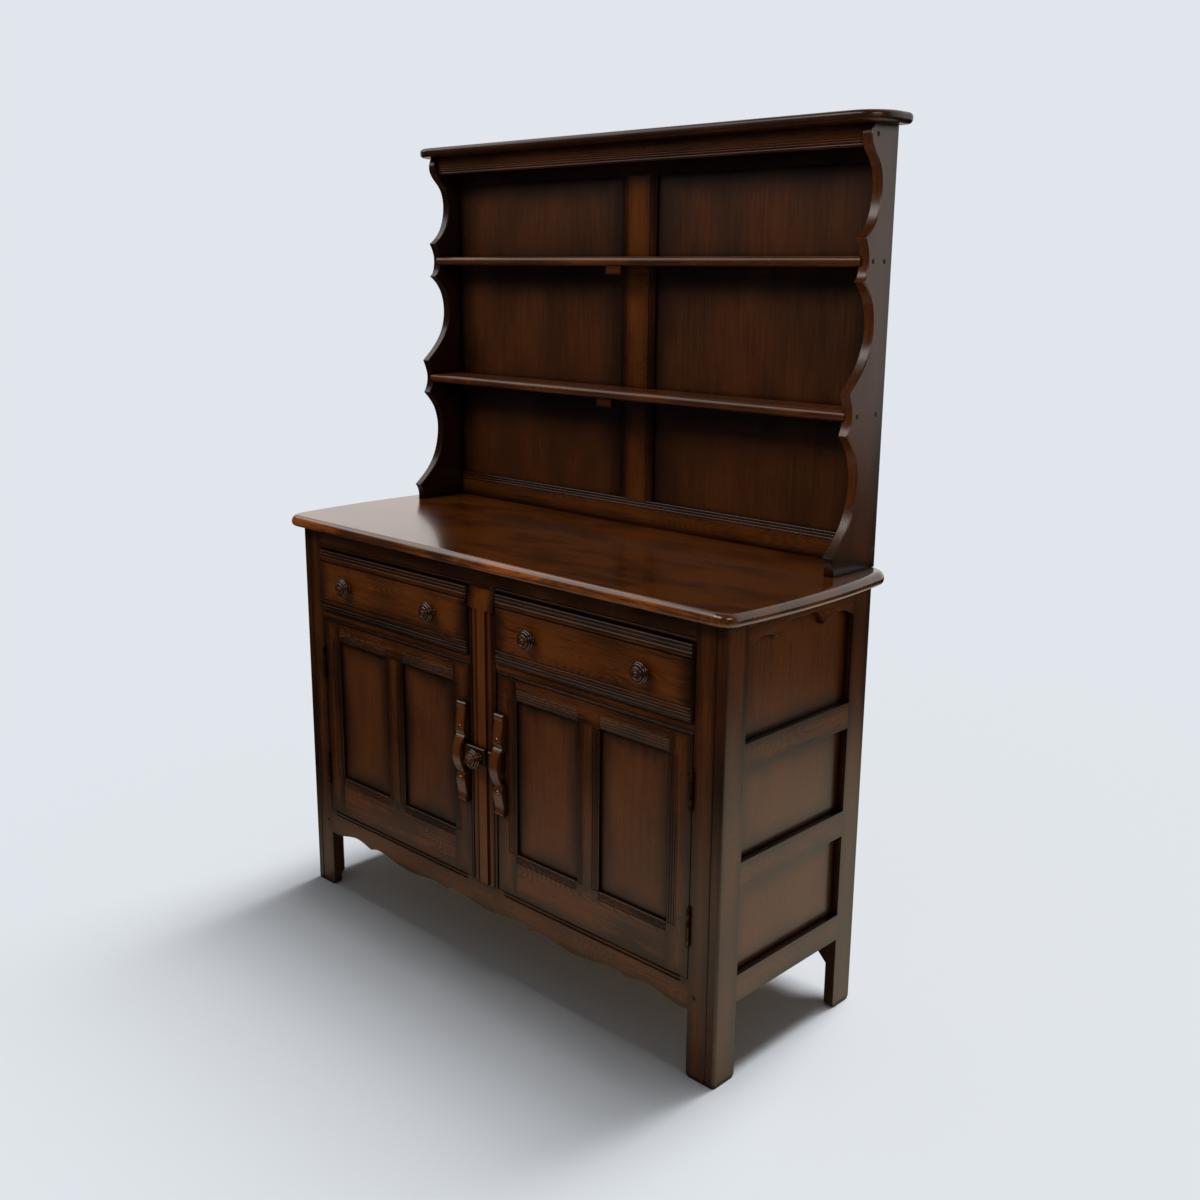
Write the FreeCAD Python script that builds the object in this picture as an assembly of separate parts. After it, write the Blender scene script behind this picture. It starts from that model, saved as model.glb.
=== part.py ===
import FreeCAD
import Part
import math
import os

Vector = FreeCAD.Vector

# A kitchen dresser: a panelled cupboard base with two drawers and two doors, and an
# open plate rack that stands on its worktop. Millimetres. X runs to the right, Y to the
# back and Z up. While the pieces are made, Y is 0 at the front face of the base's frame;
# they are moved at the end so that the origin lies under the middle of the whole piece.

# Fits
overrun = 5.0
joint_gap = 0.2
panel_gap = 0.3
slide_gap = 0.6
pin_gap = 0.05
touch_tolerance = 0.05

# Base carcass
frame_half_width = 575.0
base_depth = 407.0
base_height = 814.0
side_thickness = 20.0
front_thickness = 19.0
front_stile_width = 41.0
front_leg_depth = 55.0
rear_leg_depth = 52.0
leg_corner_radius = 5.5
foot_chamfer = 6.0
stile_groove = 1.6

# Worktop
top_thickness = 24.0
top_front_overhang = 27.0
top_front_bow = 5.0
top_rear_overhang = 30.0
top_end_overhang = 21.0
top_end_bow = 17.0
top_front_corner_radius = 34.0
top_rear_corner_radius = 46.0
top_upper_round = 13.0
top_lower_round = 9.0

# Front frame heights
top_rail_height = 41.0
drawer_opening_height = 133.0
drawer_rail_height = 16.0
door_opening_height = 441.0
apron_height = 59.0
rail_bead_width = 7.5
rail_bead_quirk = 1.2
rail_bead_depth = 2.2
apron_bead_width = 9.5
apron_bead_stop = 18.0

# Centre stile
centre_stile_half_width = 36.0
centre_stile_proud = 5.0
centre_band_half_width = 11.0
centre_hollow_width = 5.0
centre_reed_width = 12.0
centre_quirk_width = 3.0
centre_crest_drop = 0.8
centre_stile_fade = 28.0
centre_moulding_stop = 40.0

# Scalloped edges: shares of the half length and of the depth of the cut board
apron_lobe_shares = (
    ((0.0, 0.983), (0.082, 0.9), (0.156, 0.822), (0.202, 0.814), (0.237, 0.949)),
    ((0.237, 0.949), (0.263, 0.88), (0.311, 0.856), (0.389, 0.94), (0.477, 1.0),
     (0.564, 0.924), (0.642, 0.805), (0.685, 0.797), (0.722, 0.898)),
    ((0.722, 0.898), (0.753, 0.847), (0.802, 0.754), (0.842, 0.754), (0.901, 0.864), (1.0, 0.932)),
)
side_scallop_shares = (
    ((0.0, 0.98), (0.04, 0.86), (0.11, 0.717), (0.2, 0.76), (0.293, 1.0)),
    ((0.293, 1.0), (0.305, 0.7), (0.345, 0.5), (0.5, 0.455), (0.641, 0.5), (0.681, 0.7), (0.693, 1.0)),
    ((0.693, 1.0), (0.78, 0.78), (0.89, 0.7), (0.96, 0.86), (1.0, 1.0)),
)

# Side frames
side_top_rail_height = 48.0
side_rail_heights = (47.0, 49.0, 50.0)
side_rail_top_shares = (0.742, 0.489, 0.236)
side_panel_thickness = 6.0
side_panel_recess = 13.0
panel_tongue = 4.5

# Tenons
tenon_length = 14.0
tenon_shoulder = 5.0
tenon_thickness_share = 0.34

# Inside the base
back_rail_thickness = 20.0
back_top_rail_height = 60.0
back_bottom_rail_height = 80.0
back_rail_over_floor = 2.0
back_panel_thickness = 5.0
bracket_drop = 60.0
floor_thickness = 16.0
inner_shelf_thickness = 16.0
inner_shelf_share = 0.48
inner_shelf_setback = 75.0
bearer_size = 20.0
runner_thickness = 16.0
runner_width = 40.0
guide_height = 22.0
ball_catch_radius = 4.5
ball_catch_length = 12.0
ball_catch_setback = 10.0
ball_catch_inset = 60.0
ball_radius = 2.6
ball_show = 0.6

# Doors
door_gap = 2.0
closing_gap = 3.0
door_top_gap = 1.0
door_thickness = 20.0
door_stile_width = 50.0
door_top_rail_height = 47.0
door_bottom_rail_height = 85.5
door_muntin_width = 53.0
door_panel_thickness = 5.0
door_panel_recess = 7.0
door_bead_width = 6.0
door_reed_width = 5.3
door_reed_depth = 1.9
door_top_reeds = 5
door_bottom_reeds = 3
door_stile_reeds = 4
door_muntin_reeds = 3
reed_crest = 0.25

# Hinges
hinge_length = 65.0
hinge_from_door_top = 98.0
hinge_from_door_bottom = 97.0
hinge_leaf_thickness = 0.8
hinge_leaf_width = 17.0
hinge_barrel_radius = 2.8
hinge_pin_radius = 1.4
hinge_finial_radius = 2.3
hinge_axis_proud = 3.2
hinge_knuckles = 5
knuckle_gap = 0.3

# Drawers
drawer_top_gap = 1.5
drawer_bottom_gap = 0.6
drawer_front_thickness = 20.0
drawer_proud = 7.0
drawer_end_bevel = 3.0
drawer_reed_width = 6.4
drawer_reeds = 2
drawer_bead_width = 12.0
drawer_reed_depth = 2.2
drawer_bead_depth = 3.2
drawer_quirk = 1.2
drawer_side_thickness = 12.0
drawer_side_height = 105.0
drawer_length = 345.0
drawer_bottom_thickness = 5.0
drawer_bottom_lift = 9.0
drawer_groove_depth = 6.0

# Turned knobs
knob_spread_share = 0.575
knob_radius = 19.5
knob_projection = 26.0
knob_dowel_radius = 5.0
knob_dowel_length = 12.0
knob_arc_shares = (
    ((0.41, 0.0), (0.34, 0.16), (0.42, 0.33)),
    ((0.42, 0.33), (0.62, 0.44), (0.9, 0.47)),
    ((0.9, 0.47), (1.0, 0.57), (0.91, 0.67)),
    ((0.88, 0.65), (0.79, 0.8), (0.66, 0.8)),
    ((0.64, 0.78), (0.55, 0.93), (0.42, 0.9)),
)
knob_button_shares = (0.25, 0.86)
full_turn = 360

# Bow handles
handle_inset = 14.3
handle_half_length = 101.0
handle_over_door_middle = 39.5
handle_width = 26.0
handle_rise = 25.5
stud_radius = 4.0
stud_rise = 2.4
stud_dowel_radius = 2.5
stud_height_share = 0.515
stud_seat_share = 0.59
handle_top_shares = ((0.93, 0.02), (0.99, 0.14), (1.0, 0.3), (0.965, 0.47), (0.9, 0.45), (0.82, 0.43),
                     (0.66, 0.53), (0.515, 0.59), (0.4, 0.57), (0.35, 0.48))
handle_bow_shares = ((0.35, 0.48), (0.27, 0.72), (0.14, 0.93), (0.02, 1.0), (-0.1, 0.97),
                     (-0.24, 0.82), (-0.36, 0.6), (-0.42, 0.46))
handle_foot_shares = ((-0.42, 0.46), (-0.47, 0.56), (-0.56, 0.58), (-0.7, 0.5), (-0.82, 0.42),
                      (-0.9, 0.44), (-0.965, 0.46), (-1.0, 0.3), (-0.99, 0.14), (-0.93, 0.02))
handle_hollow_shares = (((-0.4, 0.0), (-0.35, 0.36), (-0.2, 0.6)), ((-0.2, 0.6), (0.0, 0.65), (0.2, 0.62)),
                        ((0.2, 0.62), (0.245, 0.5), (0.265, 0.0)))
handle_plan_shares = ((1.0, 0.94), (0.8, 0.96), (0.55, 1.0), (0.35, 0.9), (0.1, 0.88),
                      (-0.15, 0.88), (-0.4, 0.9), (-0.55, 1.0), (-0.8, 0.96), (-1.0, 0.98))

# Latch
latch_over_handle_centre = 3.5
latch_block_height = 35.0
latch_block_end = 15.5
latch_block_rise = 14.0
latch_end_gap = 9.0
latch_under_bow = 5.0
latch_bevel = 2.0
latch_stile_gap = 1.0
latch_pocket_depth = 4.6
tongue_thickness = 3.0
tongue_width = 11.0
tongue_reach = 6.5
tongue_gap = 0.8
spindle_radius = 4.0
spindle_in_knob = 12.0

# Plate rack
rack_half_width = 563.0
rack_side_thickness = 20.0
rack_side_height = 744.0
rack_side_depth = 138.0
rack_rear_inset = 6.0
rack_edge_chamfer = 1.8
rack_edge_shares = (
    ((1.0, 0.526), (0.948, 0.522), (0.913, 0.36), (0.889, 0.311), (0.862, 0.297),
     (0.827, 0.322), (0.793, 0.395), (0.7715, 0.49), (0.757, 0.592)),
    ((0.757, 0.592), (0.738, 0.54), (0.7165, 0.509), (0.692, 0.514), (0.669, 0.558), (0.6626, 0.6)),
    ((0.6626, 0.6), (0.648, 0.5), (0.6223, 0.398), (0.583, 0.333), (0.548, 0.329),
     (0.509, 0.377), (0.473, 0.486), (0.441, 0.638), (0.4167, 0.778)),
    ((0.4167, 0.778), (0.3925, 0.725), (0.3696, 0.698), (0.3387, 0.725), (0.3219, 0.772)),
    ((0.3219, 0.772), (0.3038, 0.681), (0.2782, 0.583), (0.254, 0.533), (0.23, 0.507), (0.196, 0.507),
     (0.156, 0.547), (0.118, 0.63), (0.083, 0.768), (0.06, 0.899), (0.0449, 0.996)),
    ((0.0449, 0.996), (0.036, 0.964), (0.0, 0.935)),
)
shelf_thickness = 18.0
shelf_height_shares = (0.3642, 0.707)
shelf_depth_shares = (0.71, 0.54)
shelf_housing = 6.0
shelf_round_share = 0.47
plate_groove_width = 7.0
plate_groove_depth = 3.0
plate_groove_setback = 42.0
cornice_thickness = 18.0
cornice_end_overhang = 34.0
cornice_front_overhang = 37.0
cornice_rear_overhang = 4.0
cornice_front_corner_radius = 62.0
cornice_rear_corner_radius = 24.0
cornice_edge_round = 7.5
frieze_height = 36.0
frieze_setback = 3.5
frieze_thickness = 16.0
frieze_bead_width = 6.5
frieze_reed_width = 4.3
frieze_reeds = 2
frieze_reed_depth = 1.8
rack_frame_thickness = 13.0
rack_top_rail_height = 56.0
rack_bottom_rail_height = 53.0
rack_muntin_half_width = 45.0
rack_reed_width = 5.6
rack_bottom_reeds = 3
rack_muntin_reeds = 3
rack_reed_depth = 1.8
rack_panel_thickness = 4.0
rack_panel_recess = 6.0
shelf_block_width = 41.0
shelf_block_depth = 11.0
shelf_block_height = 16.0
shelf_block_setback = 4.0
shelf_block_shift = 14.0
plug_radius = 4.0
plug_depth = 5.0
rack_dowel_length = 24.0
rack_dowel_setbacks = (30.0, 90.0)
shelf_plug_setback = 18.0
plug_top_drop = 17.0
plug_foot_rise = 32.0

# Frame pegs
peg_radius = 3.4
peg_depth = 10.0
peg_in_stile = 14.0
peg_in_centre = 27.5
peg_from_edge = 7.0

# Places that follow from the sizes
side_inner = frame_half_width - side_thickness
stile_inner = side_inner - front_stile_width
top_rail_bottom = base_height - top_rail_height
drawer_rail_top = top_rail_bottom - drawer_opening_height
drawer_rail_bottom = drawer_rail_top - drawer_rail_height
apron_top = drawer_rail_bottom - door_opening_height
rear_leg_front = base_depth - rear_leg_depth
worktop_surface = base_height + top_thickness
worktop_rear = base_depth + top_rear_overhang
rack_top = worktop_surface + rack_side_height
rack_rear = worktop_rear - rack_rear_inset
rack_inner = rack_half_width - rack_side_thickness
rack_frame_front = rack_rear - rack_frame_thickness
opening_inner = centre_stile_half_width + closing_gap
opening_outer = stile_inner - door_gap
door_bottom = apron_top + door_top_gap
door_top = drawer_rail_bottom - door_top_gap
door_middle = (opening_inner + opening_outer) / 2
handle_place = opening_inner + handle_inset
handle_centre_height = (door_bottom + door_top) / 2 + handle_over_door_middle
latch_height = handle_centre_height + latch_over_handle_centre
latch_bar_back = centre_stile_proud + latch_stile_gap
hinge_heights = (door_top - hinge_from_door_top, door_bottom + hinge_from_door_bottom)
side_rail_tops = [share * base_height for share in side_rail_top_shares]
hinge_axis_place = (opening_outer + stile_inner) / 2
floor_top = apron_top - joint_gap
inner_shelf_bottom = floor_top + inner_shelf_share * door_opening_height
back_bottom_rail_top = apron_top + back_rail_over_floor
runner_top = drawer_rail_top - joint_gap
inner_rear = base_depth - back_rail_thickness
knob_reach = max(latch_block_rise, drawer_proud) + knob_projection
front_reach = max(top_front_overhang + top_front_bow, knob_reach)
middle_of_depth = (worktop_rear - front_reach) / 2
side_panel_face = frame_half_width - side_panel_recess
frieze_front = rack_rear - rack_side_depth * rack_edge_shares[0][0][1] + frieze_setback

nodes = {}

X_AXIS, Y_AXIS, Z_AXIS = range(3)
cross_axes = {X_AXIS: (Y_AXIS, Z_AXIS), Y_AXIS: (X_AXIS, Z_AXIS), Z_AXIS: (Y_AXIS, X_AXIS)}


# Shapes in general

def block(low, high):
    """Solid box between its lowest and its highest corner."""
    return Part.makeBox(high[0] - low[0], high[1] - low[1], high[2] - low[2], Vector(*low))


def room(low, high, gap):
    """Box around a piece with a gap on all its sides, for the groove or hole that takes it."""
    return block([v - gap for v in low], [v + gap for v in high])


def rod(start, direction, radius, length):
    """Round bar from start along direction."""
    return Part.makeCylinder(radius, length, Vector(*start), Vector(*direction))


def mirrored(shape):
    """The same piece for the other side."""
    return shape.mirror(Vector(0, 0, 0), Vector(1, 0, 0))


def mirrored_box(low, high):
    """Corners of the same box on the other side."""
    return (-high[0], low[1], low[2]), (-low[0], high[1], high[2])


def both_sides(shape):
    """A piece and its mirror image, as two solids."""
    return Part.makeCompound([shape, mirrored(shape)])


def curve(points):
    """Smooth edge through the points."""
    spline = Part.BSplineCurve()
    spline.interpolate([Vector(*p) for p in points])
    return spline.toShape()


def line(start, end):
    return Part.LineSegment(Vector(*start), Vector(*end)).toShape()


def arc(start, middle, end):
    return Part.Arc(Vector(*start), Vector(*middle), Vector(*end)).toShape()


def polygon(corners):
    """Edges of a closed outline with straight sides."""
    return [line(a, b) for a, b in zip(corners, corners[1:] + corners[:1])]


def prism(edges, along):
    """Solid swept from a closed outline by the vector along."""
    face = Part.Face(Part.Wire(Part.__sortEdges__(edges)))
    return face.extrude(Vector(*along))


def fillet_where(shape, radius, chosen):
    """Round the edges for which chosen(edge) is true."""
    return shape.makeFillet(radius, [edge for edge in shape.Edges if chosen(edge)])


def chamfer_where(shape, size, chosen):
    return shape.makeChamfer(size, [edge for edge in shape.Edges if chosen(edge)])


def near(a, b):
    return math.isclose(a, b, abs_tol=touch_tolerance)


def keep(name, shape):
    """Store a finished piece under its node's name."""
    nodes[name] = shape


def keep_pair(name, shape):
    """Store the right-hand piece and its mirror image as two nodes."""
    keep(name + "_right", shape)
    keep(name + "_left", mirrored(shape))


# Joinery

def tenon_box(low, high, axis, end):
    """Corners of the tenon that leaves the end, -1 or 1, of a board that runs along axis."""
    thick, wide = cross_axes[axis]
    low, high = list(low), list(high)
    middle = (low[thick] + high[thick]) / 2
    half = (high[thick] - low[thick]) * tenon_thickness_share / 2
    low[thick], high[thick] = middle - half, middle + half
    low[wide] += tenon_shoulder
    high[wide] -= tenon_shoulder
    if end > 0:
        low[axis], high[axis] = high[axis], high[axis] + tenon_length
    else:
        low[axis], high[axis] = low[axis] - tenon_length, low[axis]
    return low, high


def tenoned(shape, low, high, axis, ends=(-1, 1)):
    """The board with a tenon at each of its ends."""
    for end in ends:
        shape = shape.fuse(block(*tenon_box(low, high, axis, end)))
    return shape.removeSplitter()


def mortised(shape, low, high, axis, ends=(-1, 1)):
    """The shape with mortises for the tenons of a board."""
    for end in ends:
        shape = shape.cut(room(*tenon_box(low, high, axis, end), joint_gap))
    return shape


def moulding_cutter(axis, start, end, low, high, ridges, face, depth, crest=0.0):
    """What a moulding plane takes off a front face between low and high.

    ridges are the (low, high) stretches that stay as rounded ridges, at most half round; the
    rest is cut to depth.
    axis says which way the plane runs, and face is the Y of the uncut front.
    """
    def place(across, deep):
        y = face + deep
        return (start, y, across) if axis == X_AXIS else (across, y, start)

    edges = [line(place(low, depth), place(low, -overrun)),
             line(place(low, -overrun), place(high, -overrun)),
             line(place(high, -overrun), place(high, depth))]
    here = low
    for ridge_low, ridge_high in sorted(ridges):
        if ridge_low > here:
            edges.append(line(place(here, depth), place(ridge_low, depth)))
        middle = (ridge_low + ridge_high) / 2
        rise = min(depth - crest, middle - ridge_low)
        edges.append(arc(place(ridge_low, depth), place(middle, depth - rise), place(ridge_high, depth)))
        here = ridge_high
    if high > here:
        edges.append(line(place(here, depth), place(high, depth)))
    length = end - start
    return prism(edges, (length, 0, 0) if axis == X_AXIS else (0, 0, length))


def reeds(low, width, count):
    """Equal ridges side by side, from low upwards."""
    return [(low + i * width, low + (i + 1) * width) for i in range(count)]


def scalloped(lobes, start, end, base, depth, place, along):
    """Board whose lower edge follows the lobes between start and end.

    base is the straight upper edge, and depth the most that the lobes reach below it.
    """
    span = end - start
    edges = []
    for lobe in lobes:
        edges.append(curve([place(start + s * span, base - d * depth) for s, d in lobe]))
    first = place(start + lobes[0][0][0] * span, base - lobes[0][0][1] * depth)
    last = place(start + lobes[-1][-1][0] * span, base - lobes[-1][-1][1] * depth)
    edges += [line(first, place(start, base)), line(place(start, base), place(end, base)),
              line(place(end, base), last)]
    return prism(edges, along)


# Front frame

def rail_box(inner, outer, bottom, top, back=front_thickness):
    """Corners of a rail of the right half of the front frame."""
    return (inner, 0, bottom), (outer, back, top)


top_rail = ((-stile_inner, 0, top_rail_bottom), (stile_inner, front_thickness, base_height))
apron_joint = ((-stile_inner, 0, apron_top - apron_height * apron_lobe_shares[-1][-1][1]),
               (stile_inner, front_thickness, apron_top))
drawer_rail = rail_box(centre_stile_half_width, stile_inner, drawer_rail_bottom, drawer_rail_top)
centre_stile = ((-centre_stile_half_width, 0, apron_top),
                (centre_stile_half_width, front_thickness, top_rail_bottom))


def frame_pegs(gap=0.0):
    """Wooden pegs through the joints of the front frame, flush with its face."""
    x = stile_inner + peg_in_stile
    over = top_rail_bottom + peg_from_edge
    stile_heights = (over, (drawer_rail_top + drawer_rail_bottom) / 2, apron_top - apron_height / 2)
    places = [(x, z) for z in stile_heights] + [(peg_in_centre, over)]
    pegs = [rod((x, 0, z), (0, 1, 0), peg_radius + gap, peg_depth + gap) for x, z in places]
    return pegs + [mirrored(peg) for peg in pegs]


def pegged(shape):
    """The shape bored for the frame's pegs."""
    for peg in frame_pegs(joint_gap):
        shape = shape.cut(peg)
    return shape


def make_front_stile():
    """Right stile, which runs to the floor as the front of the leg."""
    shape = block((stile_inner, 0, 0), (side_inner, front_thickness, base_height))
    shape = chamfer_where(shape, stile_groove, lambda e: near(e.BoundBox.XMin, side_inner)
                          and near(e.BoundBox.YMax, 0) and e.BoundBox.ZLength > front_stile_width)
    shape = chamfer_where(shape, foot_chamfer, lambda e: near(e.BoundBox.ZMax, 0)
                          and near(e.BoundBox.XMax, stile_inner))
    for box in (top_rail, drawer_rail, apron_joint):
        shape = mortised(shape, *box, X_AXIS, (1,))
    keep_pair("front_stile", pegged(shape))


def make_top_rail():
    """Rail under the worktop, with a bead along its lower edge on each side of the centre stile."""
    shape = tenoned(block(*top_rail), *top_rail, X_AXIS)
    low = top_rail_bottom
    quirk = low + rail_bead_width
    for inner, outer in ((centre_stile_half_width, stile_inner), (-stile_inner, -centre_stile_half_width)):
        shape = shape.cut(moulding_cutter(X_AXIS, inner, outer, low, quirk + rail_bead_quirk,
                                          [(low, quirk)], 0, rail_bead_depth))
    keep("front_top_rail", pegged(mortised(shape, *centre_stile, Z_AXIS, (1,))))


def make_drawer_rails():
    """Two rails between the drawers and the doors."""
    shape = tenoned(block(*drawer_rail), *drawer_rail, X_AXIS)
    for x in catch_places():
        shape = shape.cut(rod((x, ball_catch_setback, drawer_rail_bottom - overrun), (0, 0, 1),
                              ball_catch_radius + pin_gap, ball_catch_length + overrun + joint_gap))
    keep("drawer_rails", both_sides(pegged(shape)))


def make_apron():
    """Scalloped board under the doors, with a stopped bead along its top on each half."""
    def place(x, z):
        return (x, 0, z)

    along = (0, front_thickness, 0)
    half = scalloped(apron_lobe_shares, 0, stile_inner, apron_top, apron_height, place, along)
    shape = half.fuse(mirrored(half)).removeSplitter()
    shape = tenoned(shape, *apron_joint, X_AXIS)
    low = apron_top - apron_bead_width
    start = centre_stile_half_width + apron_bead_stop
    stop = stile_inner - apron_bead_stop
    cutter = moulding_cutter(X_AXIS, start, stop, low - rail_bead_quirk, apron_top,
                             [(low, apron_top)], 0, rail_bead_depth)
    shape = shape.cut(cutter).cut(mirrored(cutter))
    keep("apron", pegged(mortised(shape, *centre_stile, Z_AXIS, (-1,))))


def make_centre_stile():
    """Moulded stile between the doors, raised above the frame and fading back to it at the top."""
    low, high = centre_stile
    top, face = high[2], -centre_stile_proud
    shape = tenoned(block((low[0], face, low[2]), high), low, high, Z_AXIS)
    reed_inner = centre_band_half_width + centre_hollow_width
    reed_outer = reed_inner + centre_reed_width
    edge = centre_stile_half_width
    cutter = moulding_cutter(Z_AXIS, low[2], top - centre_moulding_stop, centre_band_half_width, edge,
                             [(reed_inner, reed_outer), (reed_outer + centre_quirk_width, edge)],
                             face, centre_stile_proud, centre_crest_drop)
    shape = shape.cut(cutter).cut(mirrored(cutter))
    corners = [(low[0], face, top - centre_stile_fade), (low[0], 0, top),
               (low[0], face - overrun, top), (low[0], face - overrun, top - centre_stile_fade)]
    shape = shape.cut(prism(polygon(corners), (edge + edge, 0, 0)))
    for rail, end in ((drawer_rail, -1), (mirrored_box(*drawer_rail), 1)):
        shape = mortised(shape, *rail, X_AXIS, (end,))
    keep("centre_stile", pegged(shape))
    keep("frame_pegs", Part.makeCompound(frame_pegs()))


# Side frames

side_front, side_rear = front_leg_depth, rear_leg_front


def side_rail_box(top, height):
    """Corners of a rail of the right side frame."""
    return (side_inner, side_front, top - height), (frame_half_width, side_rear, top)


side_rails = [side_rail_box(top, height) for top, height in zip(side_rail_tops, side_rail_heights)]
side_top_rail = ((side_panel_face + panel_gap, side_front, base_height - side_top_rail_height),
                 (frame_half_width, side_rear, base_height))


def side_panels():
    """Corners of the three panels of the right side frame."""
    outer = side_panel_face
    tops = [base_height - panel_gap] + [box[0][2] + panel_tongue for box in side_rails[:-1]]
    bottoms = [box[1][2] - panel_tongue for box in side_rails]
    return [((outer - side_panel_thickness, side_front - panel_tongue, bottom),
             (outer, side_rear + panel_tongue, top)) for bottom, top in zip(bottoms, tops)]


def grooved_for_panels(shape, boxes):
    for low, high in boxes:
        shape = shape.cut(room(low, high, panel_gap))
    return shape


def make_side_legs():
    """Front and rear leg of each side frame; the front one is rounded at its outer corner."""
    front = block((side_inner, 0, 0), (frame_half_width, side_front, base_height))
    front = fillet_where(front, leg_corner_radius, lambda e: near(e.BoundBox.XMin, frame_half_width)
                         and near(e.BoundBox.YMax, 0))
    front = chamfer_where(front, stile_groove, lambda e: near(e.BoundBox.XMax, side_inner)
                          and near(e.BoundBox.YMax, 0) and e.BoundBox.ZLength > side_front)
    rear = block((side_inner, side_rear, 0), (frame_half_width, base_depth, base_height))
    front = chamfer_where(front, foot_chamfer, lambda e: near(e.BoundBox.ZMax, 0)
                          and near(e.BoundBox.YMin, side_front))
    rear = chamfer_where(rear, foot_chamfer, lambda e: near(e.BoundBox.ZMax, 0)
                         and near(e.BoundBox.YLength, 0))
    for box in side_rails + [side_top_rail]:
        front = mortised(front, *box, Y_AXIS, (-1,))
        rear = mortised(rear, *box, Y_AXIS, (1,))
    front = grooved_for_panels(front, side_panels())
    rear = grooved_for_panels(rear, side_panels())
    for box in back_rails:
        rear = mortised(rear, *box, X_AXIS, (1,))
    rear = rear.cut(room(*back_panel, joint_gap))
    keep_pair("side_front_leg", front)
    keep_pair("side_rear_leg", rear)


def make_side_rails():
    """Scalloped top rail, in front of the top panel, and three plain rails of each side frame."""
    def place(y, z):
        return (side_top_rail[0][0], y, z)

    top = scalloped(side_scallop_shares, side_front, side_rear, base_height, side_top_rail_height,
                    place, (frame_half_width - side_top_rail[0][0], 0, 0))
    rails = [tenoned(top, *side_top_rail, Y_AXIS)]
    rails += [grooved_for_panels(tenoned(block(*box), *box, Y_AXIS), side_panels()) for box in side_rails]
    keep_pair("side_rails", Part.makeCompound(rails))


def make_side_panels():
    panels = [block(*box) for box in side_panels()]
    keep("side_panels", Part.makeCompound(panels + [mirrored(panel) for panel in panels]))


# Back and inside of the base

def back_rail_box(bottom, top):
    return (-side_inner, inner_rear, bottom), (side_inner, base_depth, top)


back_rails = [back_rail_box(base_height - back_top_rail_height, base_height),
              back_rail_box(back_bottom_rail_top - back_bottom_rail_height, back_bottom_rail_top)]
back_panel = ((-side_inner - panel_tongue, inner_rear + panel_tongue, back_rails[1][1][2] - panel_tongue),
              (side_inner + panel_tongue, inner_rear + panel_tongue + back_panel_thickness,
               back_rails[0][0][2] + panel_tongue))


def make_back():
    """Back rails, the lower one with bracket ends that brace the rear legs, and a thin back panel."""
    rails = []
    for box in back_rails:
        rail = tenoned(block(*box), *box, X_AXIS)
        rails.append(rail.cut(room(*back_panel, panel_gap)))
    low, high = back_rails[1]
    corners = [(side_inner, low[1], low[2]), (side_inner - bracket_drop, low[1], low[2]),
               (side_inner, low[1], low[2] - bracket_drop)]
    bracket = prism(polygon(corners), (0, back_rail_thickness, 0))
    rails[1] = rails[1].fuse(bracket).fuse(mirrored(bracket)).removeSplitter()
    keep("base_back_rails", Part.makeCompound(rails))
    keep("base_back_panel", block(*back_panel))


floor_board = ((-side_inner + joint_gap, front_thickness + joint_gap, floor_top - floor_thickness),
               (side_inner - joint_gap, inner_rear - joint_gap, floor_top))
inner_shelf = ((-side_inner + joint_gap, front_thickness + inner_shelf_setback, inner_shelf_bottom),
               (side_inner - joint_gap, inner_rear - joint_gap, inner_shelf_bottom + inner_shelf_thickness))


def make_cupboard_inside():
    """Floor and loose shelf of the cupboard, on bearers fixed to the side frames."""
    keep("cupboard_floor", block(*floor_board))
    keep("cupboard_shelf", block(*inner_shelf))
    bearers = []
    for low, high in (floor_board, inner_shelf):
        bearers.append(block((side_inner - bearer_size, low[1], low[2] - bearer_size),
                             (side_inner, high[1], low[2])))
    keep("cupboard_bearers", Part.makeCompound(bearers + [mirrored(bearer) for bearer in bearers]))


def make_drawer_runners():
    """Runners from the drawer rails to the back, each with the guide that keeps a drawer straight."""
    rear = inner_rear
    outer = block((stile_inner - runner_width, front_thickness, runner_top - runner_thickness),
                  (side_inner, rear, runner_top))
    outer_guide = block((stile_inner, front_thickness, runner_top),
                        (side_inner, rear, runner_top + guide_height))
    middle = block((-centre_stile_half_width - runner_width, front_thickness, runner_top - runner_thickness),
                   (centre_stile_half_width + runner_width, rear, runner_top))
    middle_guide = block((-centre_stile_half_width, front_thickness, runner_top),
                         (centre_stile_half_width, rear, runner_top + guide_height))
    outer = outer.fuse(outer_guide).removeSplitter()
    middle = middle.fuse(middle_guide).removeSplitter()
    post = block((side_inner - bearer_size, rear - bearer_size, runner_top - runner_thickness - bearer_size),
                 (side_inner, rear, runner_top - runner_thickness))
    outer = outer.fuse(post).removeSplitter()
    keep("drawer_runners", Part.makeCompound([outer, mirrored(outer), middle]))


def catch_places():
    """X of the ball catch over each door."""
    return (opening_inner + ball_catch_inset, -opening_inner - ball_catch_inset)


def make_ball_catches():
    """Brass ball catches let into the underside of the drawer rails."""
    catches = []
    for x in catch_places():
        barrel = rod((x, ball_catch_setback, drawer_rail_bottom), (0, 0, 1), ball_catch_radius,
                     ball_catch_length)
        ball = Part.makeSphere(ball_radius, Vector(x, ball_catch_setback,
                                                   drawer_rail_bottom + ball_radius - ball_show))
        catches.append(barrel.fuse(ball).removeSplitter())
    keep("ball_catches", Part.makeCompound(catches))


# Worktop

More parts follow.
